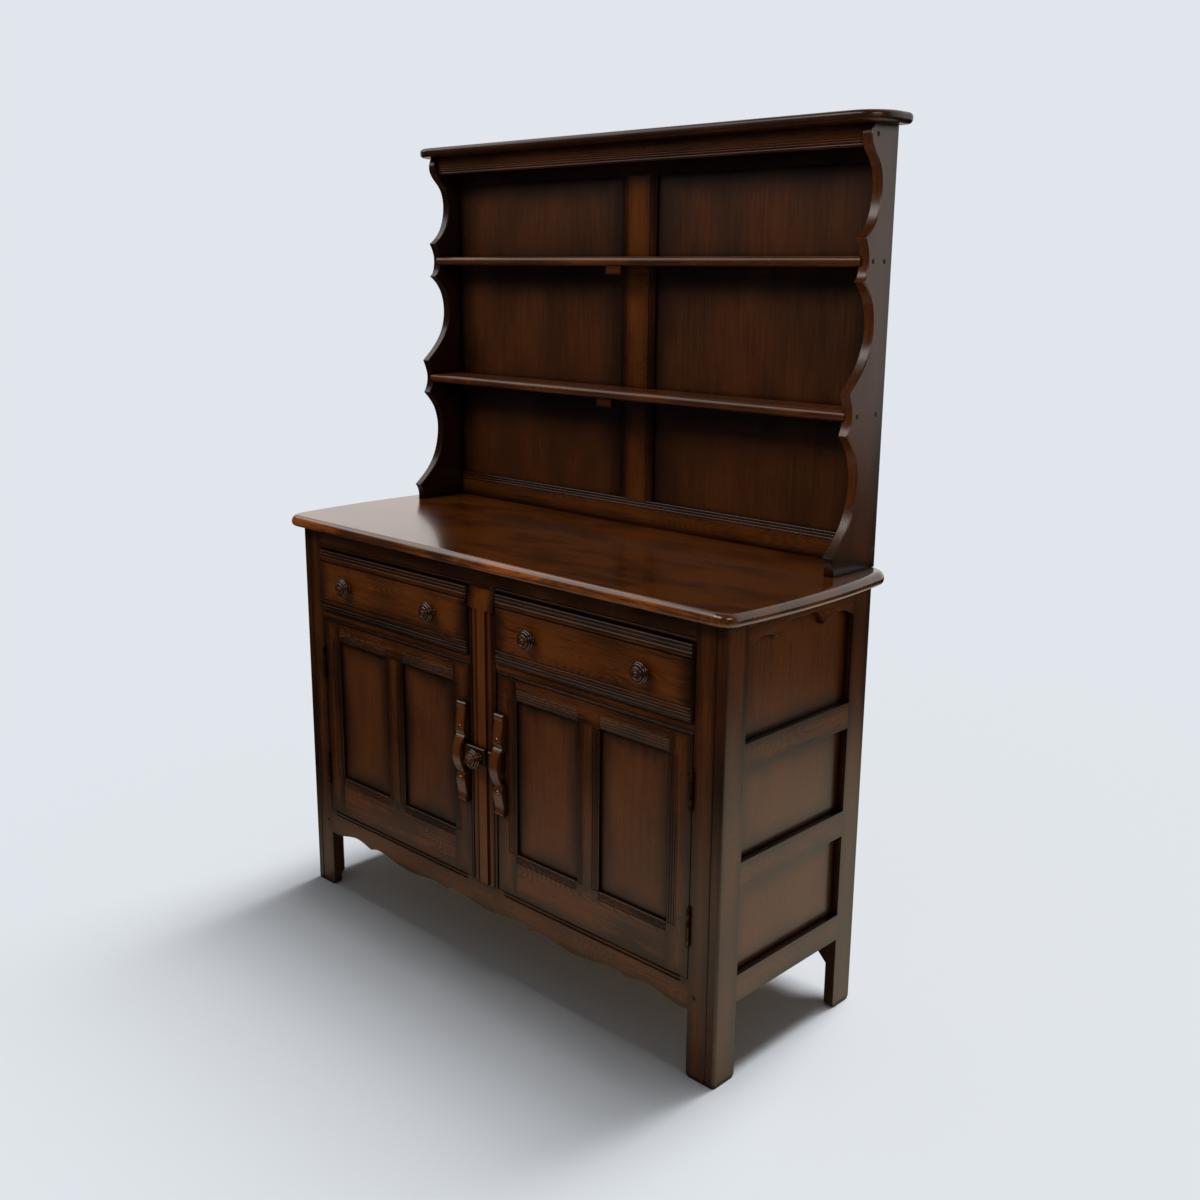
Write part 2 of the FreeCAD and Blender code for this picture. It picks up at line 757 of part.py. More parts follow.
def worktop_plan():
    """Outline of the worktop before its corners are rounded: straight behind, bowed elsewhere."""
    end = frame_half_width + top_end_overhang
    bow = end + top_end_bow
    front, rear = -top_front_overhang, worktop_rear
    middle = (front + rear) / 2
    z = base_height
    edges = [arc((-end, front, z), (0, front - top_front_bow, z), (end, front, z)),
             line((-end, rear, z), (end, rear, z))]
    for side in (-1, 1):
        edges.append(arc((side * end, front, z), (side * bow, middle, z), (side * end, rear, z)))
    return edges


def make_worktop():
    """Board with bowed front and ends, round corners and a rounded edge."""
    shape = prism(worktop_plan(), (0, 0, top_thickness))
    shape = fillet_where(shape, top_front_corner_radius, lambda e: near(e.BoundBox.ZLength, top_thickness)
                         and e.BoundBox.YMax < 0)
    shape = fillet_where(shape, top_rear_corner_radius, lambda e: near(e.BoundBox.ZLength, top_thickness)
                         and near(e.BoundBox.YMin, worktop_rear))
    shape = fillet_where(shape, top_upper_round, lambda e: near(e.BoundBox.ZMin, worktop_surface))
    shape = fillet_where(shape, top_lower_round, lambda e: near(e.BoundBox.ZMax, base_height))
    for dowel in rack_dowel_places():
        shape = shape.cut(rack_dowel(dowel, joint_gap))
    keep("worktop", shape)


# Doors

def door_boxes():
    """Corners of the framing of the right door."""
    rail_inner = opening_inner + door_stile_width
    rail_outer = opening_outer - door_stile_width
    panel_bottom = door_bottom + door_bottom_rail_height
    panel_top = door_top - door_top_rail_height
    half = door_muntin_width / 2
    back = door_thickness
    return {
        "closing_stile": ((opening_inner, 0, door_bottom), (rail_inner, back, door_top)),
        "hinge_stile": ((rail_outer, 0, door_bottom), (opening_outer, back, door_top)),
        "top_rail": ((rail_inner, 0, panel_top), (rail_outer, back, door_top)),
        "bottom_rail": ((rail_inner, 0, door_bottom), (rail_outer, back, panel_bottom)),
        "muntin": ((door_middle - half, 0, panel_bottom), (door_middle + half, back, panel_top)),
    }


def door_panel_boxes():
    """Corners of the two panels of the right door, with their edges in the grooves."""
    boxes = door_boxes()
    bottom = boxes["muntin"][0][2] - panel_tongue
    top = boxes["muntin"][1][2] + panel_tongue
    stretches = ((boxes["closing_stile"][1][0], boxes["muntin"][0][0]),
                 (boxes["muntin"][1][0], boxes["hinge_stile"][0][0]))
    front, back = door_panel_recess, door_panel_recess + door_panel_thickness
    return [((low - panel_tongue, front, bottom), (high + panel_tongue, back, top))
            for low, high in stretches]


def door_reed_cutters():
    """Stopped reeds of the right door, by the piece that they are cut in."""
    boxes = door_boxes()
    bottom = boxes["muntin"][0][2]
    top = boxes["muntin"][1][2]
    width = door_reed_width
    muntin_low, muntin_high = boxes["muntin"][0][0], boxes["muntin"][1][0]
    inner, outer = boxes["closing_stile"][1][0], boxes["hinge_stile"][0][0]

    def upright(low, count):
        return moulding_cutter(Z_AXIS, bottom, top, low, low + count * width, reeds(low, width, count),
                               0, door_reed_depth, reed_crest)

    def level(start, end, low, count):
        return moulding_cutter(X_AXIS, start, end, low, low + count * width, reeds(low, width, count),
                               0, door_reed_depth, reed_crest)

    spans = ((inner, muntin_low), (muntin_high, outer))
    low_reeds = bottom - door_bottom_reeds * width
    return {
        "closing_stile": [upright(inner - door_stile_reeds * width, door_stile_reeds)],
        "hinge_stile": [upright(outer, door_stile_reeds)],
        "muntin": [upright(muntin_low, door_muntin_reeds),
                   upright(muntin_high - door_muntin_reeds * width, door_muntin_reeds)],
        "top_rail": [level(a, b, top, door_top_reeds) for a, b in spans],
        "bottom_rail": [level(a, b, low_reeds, door_bottom_reeds) for a, b in spans],
    }


def make_door_pieces():
    """Stiles, rails and muntin of the right door, jointed, grooved for the panels and reeded."""
    boxes = door_boxes()
    pieces = {name: block(*box) for name, box in boxes.items()}
    for rail in ("top_rail", "bottom_rail"):
        pieces[rail] = tenoned(pieces[rail], *boxes[rail], X_AXIS)
        pieces["closing_stile"] = mortised(pieces["closing_stile"], *boxes[rail], X_AXIS, (-1,))
        pieces["hinge_stile"] = mortised(pieces["hinge_stile"], *boxes[rail], X_AXIS, (1,))
    pieces["muntin"] = tenoned(pieces["muntin"], *boxes["muntin"], Z_AXIS)
    pieces["top_rail"] = mortised(pieces["top_rail"], *boxes["muntin"], Z_AXIS, (1,))
    pieces["bottom_rail"] = mortised(pieces["bottom_rail"], *boxes["muntin"], Z_AXIS, (-1,))
    for name, cutters in door_reed_cutters().items():
        pieces[name] = grooved_for_panels(pieces[name], door_panel_boxes())
        for cutter in cutters:
            pieces[name] = pieces[name].cut(cutter)
    bead_low = door_top - door_bead_width
    bead = moulding_cutter(X_AXIS, opening_inner, opening_outer, bead_low - rail_bead_quirk, door_top,
                           [(bead_low, door_top)], 0, rail_bead_depth)
    for name in ("closing_stile", "hinge_stile", "top_rail"):
        pieces[name] = pieces[name].cut(bead)
    return pieces


def make_doors():
    pieces = make_door_pieces()
    for place in stud_places():
        pieces["closing_stile"] = pieces["closing_stile"].cut(stud_dowel(place, joint_gap, overrun))
    pieces["closing_stile"] = pieces["closing_stile"].removeSplitter()
    keep_pair("door_stiles", Part.makeCompound([pieces["closing_stile"], pieces["hinge_stile"]]))
    keep_pair("door_rails", Part.makeCompound([pieces["top_rail"], pieces["bottom_rail"]]))
    keep_pair("door_muntin", pieces["muntin"])
    keep_pair("door_panels", Part.makeCompound([block(*box) for box in door_panel_boxes()]))


# Hinges

def leaf_start(axis_x, which):
    """X at which a hinge leaf begins: which is 0 for the frame's and 1 for the door's."""
    if which == 0:
        return axis_x + knuckle_gap / 2
    return axis_x - knuckle_gap / 2 - hinge_leaf_thickness


def knuckles(axis_x, height, which):
    """The knuckles of one hinge leaf, each with the arm that joins it to the leaf."""
    pitch = hinge_length / hinge_knuckles
    low = height - hinge_length / 2
    barrels = []
    for i in range(which, hinge_knuckles, 2):
        start = (axis_x, -hinge_axis_proud, low + i * pitch + knuckle_gap / 2)
        barrel = rod(start, (0, 0, 1), hinge_barrel_radius, pitch - knuckle_gap)
        arm_low = (leaf_start(axis_x, which), -hinge_axis_proud, start[2])
        arm_high = (arm_low[0] + hinge_leaf_thickness, 0, start[2] + pitch - knuckle_gap)
        barrels.append(barrel.fuse(block(arm_low, arm_high)))
    bore = rod((axis_x, -hinge_axis_proud, low - overrun), (0, 0, 1), hinge_pin_radius + pin_gap,
               hinge_length + overrun + overrun)
    return [barrel.cut(bore) for barrel in barrels]


def hinge_leaf(axis_x, height, which):
    """Flat leaf in the gap between door and frame, with its knuckles."""
    low = height - hinge_length / 2
    x = leaf_start(axis_x, which)
    shape = block((x, 0, low), (x + hinge_leaf_thickness, hinge_leaf_width, low + hinge_length))
    for barrel in knuckles(axis_x, height, which):
        shape = shape.fuse(barrel)
    return shape.removeSplitter()


def hinge_pin(axis_x, height):
    """Pin with a ball just beyond each end of the knuckles."""
    reach = hinge_length / 2 + hinge_finial_radius
    shape = rod((axis_x, -hinge_axis_proud, height - reach), (0, 0, 1), hinge_pin_radius, reach + reach)
    for z in (height - reach, height + reach):
        shape = shape.fuse(Part.makeSphere(hinge_finial_radius, Vector(axis_x, -hinge_axis_proud, z)))
    return shape.removeSplitter()


def make_hinges():
    fixed = [hinge_leaf(hinge_axis_place, height, 0) for height in hinge_heights]
    moving = [hinge_leaf(hinge_axis_place, height, 1) for height in hinge_heights]
    pins = [hinge_pin(hinge_axis_place, height) for height in hinge_heights]
    keep("hinge_frame_leaves", Part.makeCompound(fixed + [mirrored(leaf) for leaf in fixed]))
    keep("hinge_pins", Part.makeCompound(pins + [mirrored(pin) for pin in pins]))
    keep_pair("hinge_door_leaves", Part.makeCompound(moving))


# Knobs, handles and latch

def knob(x, y, z):
    """Turned knob on a neck, its face cut with rings about a centre button, with a dowel behind."""
    def place(share, rise):
        return (share * knob_radius, -rise * knob_projection, 0)

    end = knob_arc_shares[0][0]
    outline = [line((0, knob_dowel_length, 0), (knob_dowel_radius, knob_dowel_length, 0)),
               line((knob_dowel_radius, knob_dowel_length, 0), (knob_dowel_radius, 0, 0)),
               line((knob_dowel_radius, 0, 0), place(*end))]
    for start, middle, stop in knob_arc_shares:
        if start != end:
            outline.append(line(place(*end), place(*start)))
        outline.append(arc(place(*start), place(*middle), place(*stop)))
        end = stop
    rim = place(*knob_button_shares)
    height = knob_projection + rim[1]
    ball = (rim[0] * rim[0] + height * height) / (height + height)
    half_turn = math.asin(rim[0] / ball) / 2
    middle = (ball * math.sin(half_turn), ball - knob_projection - ball * math.cos(half_turn), 0)
    outline.append(line(place(*end), rim))
    outline.append(arc(rim, middle, (0, -knob_projection, 0)))
    outline.append(line((0, -knob_projection, 0), (0, knob_dowel_length, 0)))
    face = Part.Face(Part.Wire(Part.__sortEdges__(outline)))
    shape = face.revolve(Vector(0, 0, 0), Vector(0, 1, 0), full_turn)
    shape.translate(Vector(x, y, z))
    return shape


def handle_outline():
    """Side view of a bow handle: lipped ends, feet that sit on the door, and the bow over the latch."""
    def place(share, rise):
        return (0, -rise * handle_rise, share * handle_half_length)

    top, bow, foot = handle_top_shares, handle_bow_shares, handle_foot_shares
    hollow = [point for part in handle_hollow_shares for point in part]
    edges = [curve([place(*p) for p in part]) for part in (top, bow, foot) + handle_hollow_shares]
    top_seat = (top[0][0], 0.0)
    foot_seat = (foot[-1][0], 0.0)
    edges.append(line(place(*foot[-1]), place(*foot_seat)))
    edges.append(line(place(*foot_seat), place(*hollow[0])))
    edges.append(line(place(*hollow[-1]), place(*top_seat)))
    edges.append(line(place(*top_seat), place(*top[0])))
    return edges


def make_handle():
    """Bow handle of the right door, sawn to its side view and then to its front view."""
    shape = prism(handle_outline(), (handle_width, 0, 0))
    shape.translate(Vector(-handle_width / 2, 0, 0))
    ahead = -handle_rise - overrun
    right = [(width * handle_width / 2, ahead, share * handle_half_length)
             for share, width in handle_plan_shares]
    left = [(-x, y, z) for x, y, z in right]
    caps = [line(left[0], right[0]), line(left[-1], right[-1])]
    plan = prism([curve(right), curve(left)] + caps, (0, overrun - ahead, 0))
    shape = shape.common(plan)
    shape.translate(Vector(handle_place, 0, handle_centre_height))
    for place in stud_places():
        shape = shape.cut(stud_dowel(place, joint_gap, overrun))
    return shape


def stud_places():
    """X, Y and Z of the two studs on the right handle, at its front face."""
    rise = handle_rise * stud_seat_share
    reach = stud_height_share * handle_half_length
    return [(handle_place, -rise, handle_centre_height + reach),
            (handle_place, -rise, handle_centre_height - reach)]


def stud_dowel(place, gap=0.0, lead=0.0):
    """Shank of a stud, from the handle's face into the door, or its hole, begun lead ahead of the face."""
    x, y, z = place
    return rod((x, y - lead, z), (0, 1, 0), stud_dowel_radius + gap, lead - y + peg_depth + gap)


def stud(place):
    """Round-headed stud."""
    x, y, z = place
    ball = (stud_radius * stud_radius + stud_rise * stud_rise) / (stud_rise + stud_rise)
    head = Part.makeSphere(ball, Vector(x, y + ball - stud_rise - joint_gap, z))
    cap = rod((x, y - joint_gap, z), (0, -1, 0), stud_radius + overrun, stud_rise + overrun)
    return head.common(cap).fuse(stud_dowel(place)).removeSplitter()


def make_handles():
    keep_pair("handle", make_handle())
    keep_pair("handle_studs", Part.makeCompound([stud(place) for place in stud_places()]))


def latch_bar(inner, outer, door_edge):
    """Wooden bar on one door that reaches over the centre stile, rebated behind to clear it."""
    low = latch_height - latch_block_height / 2
    high = low + latch_block_height
    shape = block((min(inner, outer), -latch_block_rise, low), (max(inner, outer), 0, high))
    shape = chamfer_where(shape, latch_bevel, lambda e: near(e.BoundBox.YMax, -latch_block_rise))
    inward = overrun if inner > door_edge else -overrun
    ends = sorted((inner + inward, door_edge))
    return shape.cut(block((ends[0], -latch_bar_back, low - overrun), (ends[1], overrun, high + overrun)))


def latch_pocket():
    """Room that the tongue sweeps behind the bar and in the keeper."""
    back = -latch_bar_back
    reach = latch_block_end + latch_end_gap + tongue_reach + tongue_gap
    half = tongue_width / 2 + tongue_gap
    sweep = rod((0, back + overrun, latch_height), (0, -1, 0), reach, latch_pocket_depth + overrun)
    lower = block((-reach, back - latch_pocket_depth, latch_height - latch_block_height),
                  (reach, back + overrun, latch_height + half))
    return sweep.common(lower)


def make_latch():
    """Bar with its knob and tongue on the left door, and the keeper on the right door."""
    reach_in = handle_place + latch_under_bow
    bar = latch_bar(latch_block_end, -reach_in, -opening_inner)
    keeper = latch_bar(latch_block_end + latch_end_gap, reach_in, opening_inner)
    pocket = latch_pocket()
    bore = rod((0, -latch_block_rise - overrun, latch_height), (0, 1, 0), spindle_radius + pin_gap,
               latch_block_rise + overrun + overrun)
    keep("latch_bar", bar.cut(pocket).cut(bore))
    keep("latch_keeper", keeper.cut(pocket))
    knob_base = -latch_block_rise - slide_gap
    turned = knob(0, knob_base, latch_height)
    behind = knob_base + knob_dowel_length + overrun
    turned = turned.cut(block((-knob_radius, knob_base, latch_height - knob_radius),
                              (knob_radius, behind, latch_height + knob_radius)))
    spindle_front = knob_base - spindle_in_knob
    tongue_back = -latch_bar_back - tongue_gap
    spindle = rod((0, spindle_front, latch_height), (0, 1, 0), spindle_radius, tongue_back - spindle_front)
    socket = rod((0, spindle_front - joint_gap, latch_height), (0, 1, 0), spindle_radius + pin_gap,
                 spindle_in_knob + overrun)
    keep("latch_knob", turned.cut(socket))
    tip = latch_block_end + latch_end_gap + tongue_reach
    half = tongue_width / 2
    blade = block((-tip, tongue_back - tongue_thickness, latch_height - half),
                  (0, tongue_back, latch_height + half))
    boss = rod((0, tongue_back - tongue_thickness, latch_height), (0, 1, 0), half, tongue_thickness)
    keep("latch_tongue", spindle.fuse(blade).fuse(boss).removeSplitter())


# Drawers

def drawer_front_box():
    """Corners of the right drawer's front."""
    return ((opening_inner, -drawer_proud, drawer_rail_top + drawer_bottom_gap),
            (opening_outer, drawer_front_thickness - drawer_proud, top_rail_bottom - drawer_top_gap))


def drawer_knob_places():
    low, high = drawer_front_box()
    centre = (low[0] + high[0]) / 2
    reach = (high[0] - low[0]) * knob_spread_share / 2
    z = (low[2] + high[2]) / 2
    return [(centre - reach, z), (centre + reach, z)]


def make_drawer_front():
    """Front with reeds and a bead along its top and its bottom, a flat between, and bevelled ends."""
    low, high = drawer_front_box()
    face = low[1]
    corners = [(low[0], 0, low[2]), (low[0] + drawer_end_bevel, face, low[2]),
               (high[0] - drawer_end_bevel, face, low[2]), (high[0], 0, low[2]),
               (high[0], high[1], low[2]), (low[0], high[1], low[2])]
    shape = prism(polygon(corners), (0, 0, high[2] - low[2]))
    reeded = drawer_reed_width * drawer_reeds
    spans = ((low[2], low[2] + reeded), (high[2] - reeded, high[2]))
    for start, stop in spans:
        ridges = reeds(start, drawer_reed_width, drawer_reeds)
        shape = shape.cut(moulding_cutter(X_AXIS, low[0], high[0], start, stop, ridges, face,
                                          drawer_reed_depth, reed_crest))
    for start, quirk in ((spans[0][1], spans[0][1] + drawer_bead_width),
                         (spans[1][0] - drawer_bead_width, spans[1][0] - drawer_bead_width - drawer_quirk)):
        ridge = (start, start + drawer_bead_width)
        shape = shape.cut(moulding_cutter(X_AXIS, low[0], high[0], *ridge, [ridge], face, drawer_bead_depth))
        shape = shape.cut(block((low[0], face - overrun, quirk),
                                (high[0], face + drawer_bead_depth, quirk + drawer_quirk)))
    for x, z in drawer_knob_places():
        shape = shape.cut(rod((x, face - overrun, z), (0, 1, 0), knob_dowel_radius + joint_gap,
                              knob_dowel_length + overrun + joint_gap))
    return shape


def drawer_box_boards():
    """Corners of the right drawer's sides, back and bottom."""
    front_low, front_high = drawer_front_box()
    left, right = front_low[0] + slide_gap, front_high[0] - slide_gap
    start, end = front_high[1], front_high[1] + drawer_length
    low, high = front_low[2], front_low[2] + drawer_side_height
    thick = drawer_side_thickness
    bottom = low + drawer_bottom_lift
    tongue = drawer_groove_depth
    return {
        "left": ((left, start, low), (left + thick, end, high)),
        "right": ((right - thick, start, low), (right, end, high)),
        "back": ((left + thick, end - thick, bottom + drawer_bottom_thickness + joint_gap),
                 (right - thick, end, high)),
        "bottom": ((left + thick - tongue, start - tongue, bottom),
                   (right - thick + tongue, end, bottom + drawer_bottom_thickness)),
    }


def make_drawers():
    front = make_drawer_front()
    boards = drawer_box_boards()
    groove = room(*boards["bottom"], joint_gap)
    tails = []
    for side in ("left", "right"):
        tails.append(tenon_box(*boards[side], Y_AXIS, -1))
    solids = []
    for name in ("left", "right"):
        solids.append(tenoned(block(*boards[name]), *boards[name], Y_AXIS, (-1,)).cut(groove))
    solids += [block(*boards["back"]), block(*boards["bottom"])]
    front = front.cut(groove)
    for low, high in tails:
        front = front.cut(room(low, high, joint_gap))
    knobs = [knob(x, -drawer_proud, z) for x, z in drawer_knob_places()]
    keep_pair("drawer_front", front)
    keep_pair("drawer_box", Part.makeCompound(solids))
    keep_pair("drawer_knobs", Part.makeCompound(knobs))


# Plate rack

rack_bottom_rail = ((-rack_inner, rack_frame_front, worktop_surface),
                    (rack_inner, rack_rear, worktop_surface + rack_bottom_rail_height))
rack_top_rail = ((-rack_inner, rack_frame_front, rack_top - rack_top_rail_height),
                 (rack_inner, rack_rear, rack_top))
rack_muntin = ((-rack_muntin_half_width, rack_frame_front, rack_bottom_rail[1][2]),
               (rack_muntin_half_width, rack_rear, rack_top_rail[0][2]))
rack_panel_front = rack_frame_front + rack_panel_recess
rack_panels = [((-rack_inner - panel_tongue, rack_panel_front, rack_bottom_rail[1][2] - panel_tongue),
                (rack_muntin[0][0] + panel_tongue, rack_panel_front + rack_panel_thickness,
                 rack_top_rail[0][2] + panel_tongue))]
rack_panels.append(((rack_muntin[1][0] - panel_tongue, *rack_panels[0][0][1:]),
                    (rack_inner + panel_tongue, *rack_panels[0][1][1:])))
frieze_box = ((-rack_inner, frieze_front, rack_top - frieze_height),
              (rack_inner, frieze_front + frieze_thickness, rack_top))


def rack_shelf_box(i):
    """Corners of shelf i of the rack, counted from below, with its ends in the housings."""
    middle = worktop_surface + shelf_height_shares[i] * rack_side_height
    front = rack_rear - shelf_depth_shares[i] * rack_side_depth
    reach = rack_inner + shelf_housing
    return ((-reach, front, middle - shelf_thickness / 2),
            (reach, rack_frame_front - joint_gap, middle + shelf_thickness / 2))


def rack_plugs():
    """Places of the plugs on the right side of the rack, as Y and Z."""
    places = [(frieze_front + frieze_thickness / 2, rack_top - plug_top_drop)]
    for i in range(len(shelf_height_shares)):
        low, high = rack_shelf_box(i)
        z = (low[2] + high[2]) / 2
        places += [(low[1] + shelf_plug_setback, z), (high[1] - shelf_plug_setback / 2, z)]
    places.append((rack_frame_front + rack_frame_thickness / 2, worktop_surface + plug_foot_rise))
    return places


def rack_plug(place, gap=0.0):
    y, z = place
    return rod((rack_half_width, y, z), (-1, 0, 0), plug_radius + gap, plug_depth + gap)


def rack_dowel_places():
    """Places of the dowels that hold the rack on the worktop, as X and Y."""
    x = rack_half_width - rack_side_thickness / 2
    places = [(x, rack_rear - setback) for setback in rack_dowel_setbacks]
    return places + [(-x, y) for x, y in places]


def rack_dowel(place, gap=0.0):
    x, y = place
    return rod((x, y, worktop_surface - rack_dowel_length / 2 - gap), (0, 0, 1), plug_radius + gap,
               rack_dowel_length + gap + gap)


def rack_side():
    """Scalloped board at the right end of the rack, its front edges eased."""
    def place(height, reach):
        return (rack_inner, rack_rear - reach * rack_side_depth, worktop_surface + height * rack_side_height)

    edges = [curve([place(*point) for point in part]) for part in rack_edge_shares]
    top, foot = rack_edge_shares[0][0], rack_edge_shares[-1][-1]
    edges.append(line(place(*foot), place(foot[0], 0)))
    edges.append(line(place(foot[0], 0), place(top[0], 0)))
    edges.append(line(place(top[0], 0), place(*top)))
    shape = prism(edges, (rack_side_thickness, 0, 0))
    return chamfer_where(shape, rack_edge_chamfer, lambda e: near(e.BoundBox.XLength, 0)
                         and not near(e.BoundBox.YLength, 0) and not near(e.BoundBox.ZLength, 0))


def make_rack_sides():
    shape = rack_side()
    for i in range(len(shelf_height_shares)):
        shape = shape.cut(room(*rack_shelf_box(i), joint_gap))
    shape = mortised(shape, *frieze_box, X_AXIS, (1,))
    for box in (rack_bottom_rail, rack_top_rail):
        shape = mortised(shape, *box, X_AXIS, (1,))
    for place in rack_plugs():
        shape = shape.cut(rack_plug(place, joint_gap))
    for place in rack_dowel_places():
        shape = shape.cut(rack_dowel(place, joint_gap))
    for box in rack_panels:
        shape = shape.cut(room(*box, panel_gap))
    keep_pair("rack_side", shape)


def make_rack_shelves():
    """Two shelves with rounded fronts and a groove that plates stand in."""
    for i, name in enumerate(("lower_shelf", "upper_shelf")):
        low, high = rack_shelf_box(i)
        shape = block(low, high)
        shape = fillet_where(shape, shelf_thickness * shelf_round_share,
                             lambda e: near(e.BoundBox.YMax, low[1]) and e.BoundBox.XLength > rack_inner)
        groove = high[1] - plate_groove_setback
        shape = shape.cut(block((-rack_inner, groove - plate_groove_width, high[2] - plate_groove_depth),
                                (rack_inner, groove, high[2] + overrun)))
        keep(name, shape)


def make_cornice():
    """Flat cornice board with round corners and a rounded edge."""
    half = rack_half_width + cornice_end_overhang
    low = (-half, frieze_front - cornice_front_overhang, rack_top)
    high = (half, rack_rear + cornice_rear_overhang, rack_top + cornice_thickness)
    shape = block(low, high)
    for y, radius in ((low[1], cornice_front_corner_radius), (high[1], cornice_rear_corner_radius)):
        shape = fillet_where(shape, radius, lambda e: near(e.BoundBox.ZLength, cornice_thickness)
                             and near(e.BoundBox.YMax, y) and near(e.BoundBox.YMin, y))
    shape = fillet_where(shape, cornice_edge_round, lambda e: near(e.BoundBox.ZLength, 0))
    keep("cornice", shape)


def make_frieze():
    """Board under the cornice, with reeds and a bead along its lower edge."""
    low, high = frieze_box
    shape = tenoned(block(low, high), low, high, X_AXIS)
    bead = low[2] + frieze_bead_width
    reeded = bead + frieze_reed_width * frieze_reeds
    ridges = [(low[2], bead)] + reeds(bead, frieze_reed_width, frieze_reeds)
    shape = shape.cut(moulding_cutter(X_AXIS, low[0], high[0], low[2], reeded, ridges, low[1],
                                      frieze_reed_depth, reed_crest))
    keep("frieze", shape)


def make_rack_back():
    """Framed back of the rack: rails, the lower one reeded, a reeded muntin and two thin panels."""
    bottom, top, muntin = rack_bottom_rail, rack_top_rail, rack_muntin
    lower = tenoned(block(*bottom), *bottom, X_AXIS)
    upper = tenoned(block(*top), *top, X_AXIS)
    upright = tenoned(block(*muntin), *muntin, Z_AXIS)
    lower = mortised(lower, *muntin, Z_AXIS, (-1,))
    upper = mortised(upper, *muntin, Z_AXIS, (1,))
    width = rack_reed_width
    edge = bottom[1][2]
    start = edge - width * rack_bottom_reeds
    lower = lower.cut(moulding_cutter(X_AXIS, -rack_inner, rack_inner, start, edge,
                                      reeds(start, width, rack_bottom_reeds), rack_frame_front,
                                      rack_reed_depth, reed_crest))
    across = width * rack_muntin_reeds
    for x_low in (muntin[0][0], muntin[1][0] - across):
        upright = upright.cut(moulding_cutter(Z_AXIS, edge, top[0][2], x_low, x_low + across,
                                              reeds(x_low, width, rack_muntin_reeds), rack_frame_front,
                                              rack_reed_depth, reed_crest))
    rails = [grooved_for_panels(shape, rack_panels) for shape in (lower, upper)]
    keep("rack_back_frame", Part.makeCompound(rails))
    keep("rack_back_muntin", grooved_for_panels(upright, rack_panels))
    keep("rack_back_panels", Part.makeCompound([block(*box) for box in rack_panels]))


def make_rack_fittings():
    """Blocks glued under the shelves, plugs over the screws, and the dowels that hold the rack."""
    blocks = []
    for i in range(len(shelf_height_shares)):
        low, high = rack_shelf_box(i)
        start = -shelf_block_shift - shelf_block_width / 2
        front = low[1] + shelf_block_setback
        blocks.append(block((start, front, low[2] - shelf_block_height),
                            (start + shelf_block_width, front + shelf_block_depth, low[2])))
    keep("shelf_blocks", Part.makeCompound(blocks))
    plugs = [rack_plug(place) for place in rack_plugs()]
    keep("rack_plugs", Part.makeCompound(plugs + [mirrored(plug) for plug in plugs]))
    keep("rack_dowels", Part.makeCompound([rack_dowel(place) for place in rack_dowel_places()]))


makers = (make_worktop, make_front_stile, make_top_rail, make_drawer_rails, make_apron, make_centre_stile,
          make_side_legs, make_side_rails, make_side_panels, make_back, make_cupboard_inside,
          make_drawer_runners, make_ball_catches, make_doors, make_hinges, make_handles, make_latch,
          make_drawers, make_rack_sides, make_rack_shelves, make_cornice, make_frieze, make_rack_back,
          make_rack_fittings)
for make in makers:
    make()

os.makedirs("parts", exist_ok=True)
for name, shape in nodes.items():
    shape = shape.copy()
    shape.translate(Vector(0, -middle_of_depth, 0))
    if not shape.isValid():
        print("not valid:", name)
    shape.exportStep("parts/" + name + ".step")
print(len(nodes), "pieces")
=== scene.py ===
import math

import bpy
from mathutils import Matrix, Vector

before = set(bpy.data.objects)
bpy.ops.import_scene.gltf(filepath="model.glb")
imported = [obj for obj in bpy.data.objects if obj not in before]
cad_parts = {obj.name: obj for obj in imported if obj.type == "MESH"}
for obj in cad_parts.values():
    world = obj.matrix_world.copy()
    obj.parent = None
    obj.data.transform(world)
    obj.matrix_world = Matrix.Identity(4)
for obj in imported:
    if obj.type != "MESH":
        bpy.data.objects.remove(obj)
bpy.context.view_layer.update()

# A dark stained elm dresser: a panelled cupboard base with two drawers over two doors, and an
# open plate rack on its worktop. Metres throughout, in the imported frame: X right, Y back, Z up.

MM = 0.001

# Camera: its place and turn follow from the photograph's perspective of the dresser's straight edges
CAMERA_PLACE = (1.778, -1.7445, 1.344)
CAMERA_YAW_DEGREES = 43.56
CAMERA_PITCH_DEGREES = -13.45
CAMERA_ROLL_DEGREES = 0.4725
CAMERA_LENS_MM = 39.21
CAMERA_SHIFT = (-0.00225, -0.013)

# Studio: a pale floor and backdrop; the gloss shows a pale wall behind the dresser, a dim room in
# front of it and a pale patch of floor round it
BACKDROP = "E1E6EC"
WALL = "EFE8E2"
FLOOR_PATCH = "E6DFC8"
WALL_GLOW = 1.08
DIM_ROOM = 0.014
# How far back and how far up a direction points where the wall fades in
WALL_BACK = (-0.1, 0.4)
WALL_UP = (-0.22, -0.06)
FLOOR_HALF = 7.0
# The floor shows the shadow up to the first of these distances from the centre of the pale patch and
# is bare backdrop from the second. In the gloss, the patch goes dim between the other two.
PATCH_CENTRE = (0.5, 0.4, 0.0)
SHADOW_FADE = (2.0, 3.0)
PATCH_FADE = (0.8, 1.9)

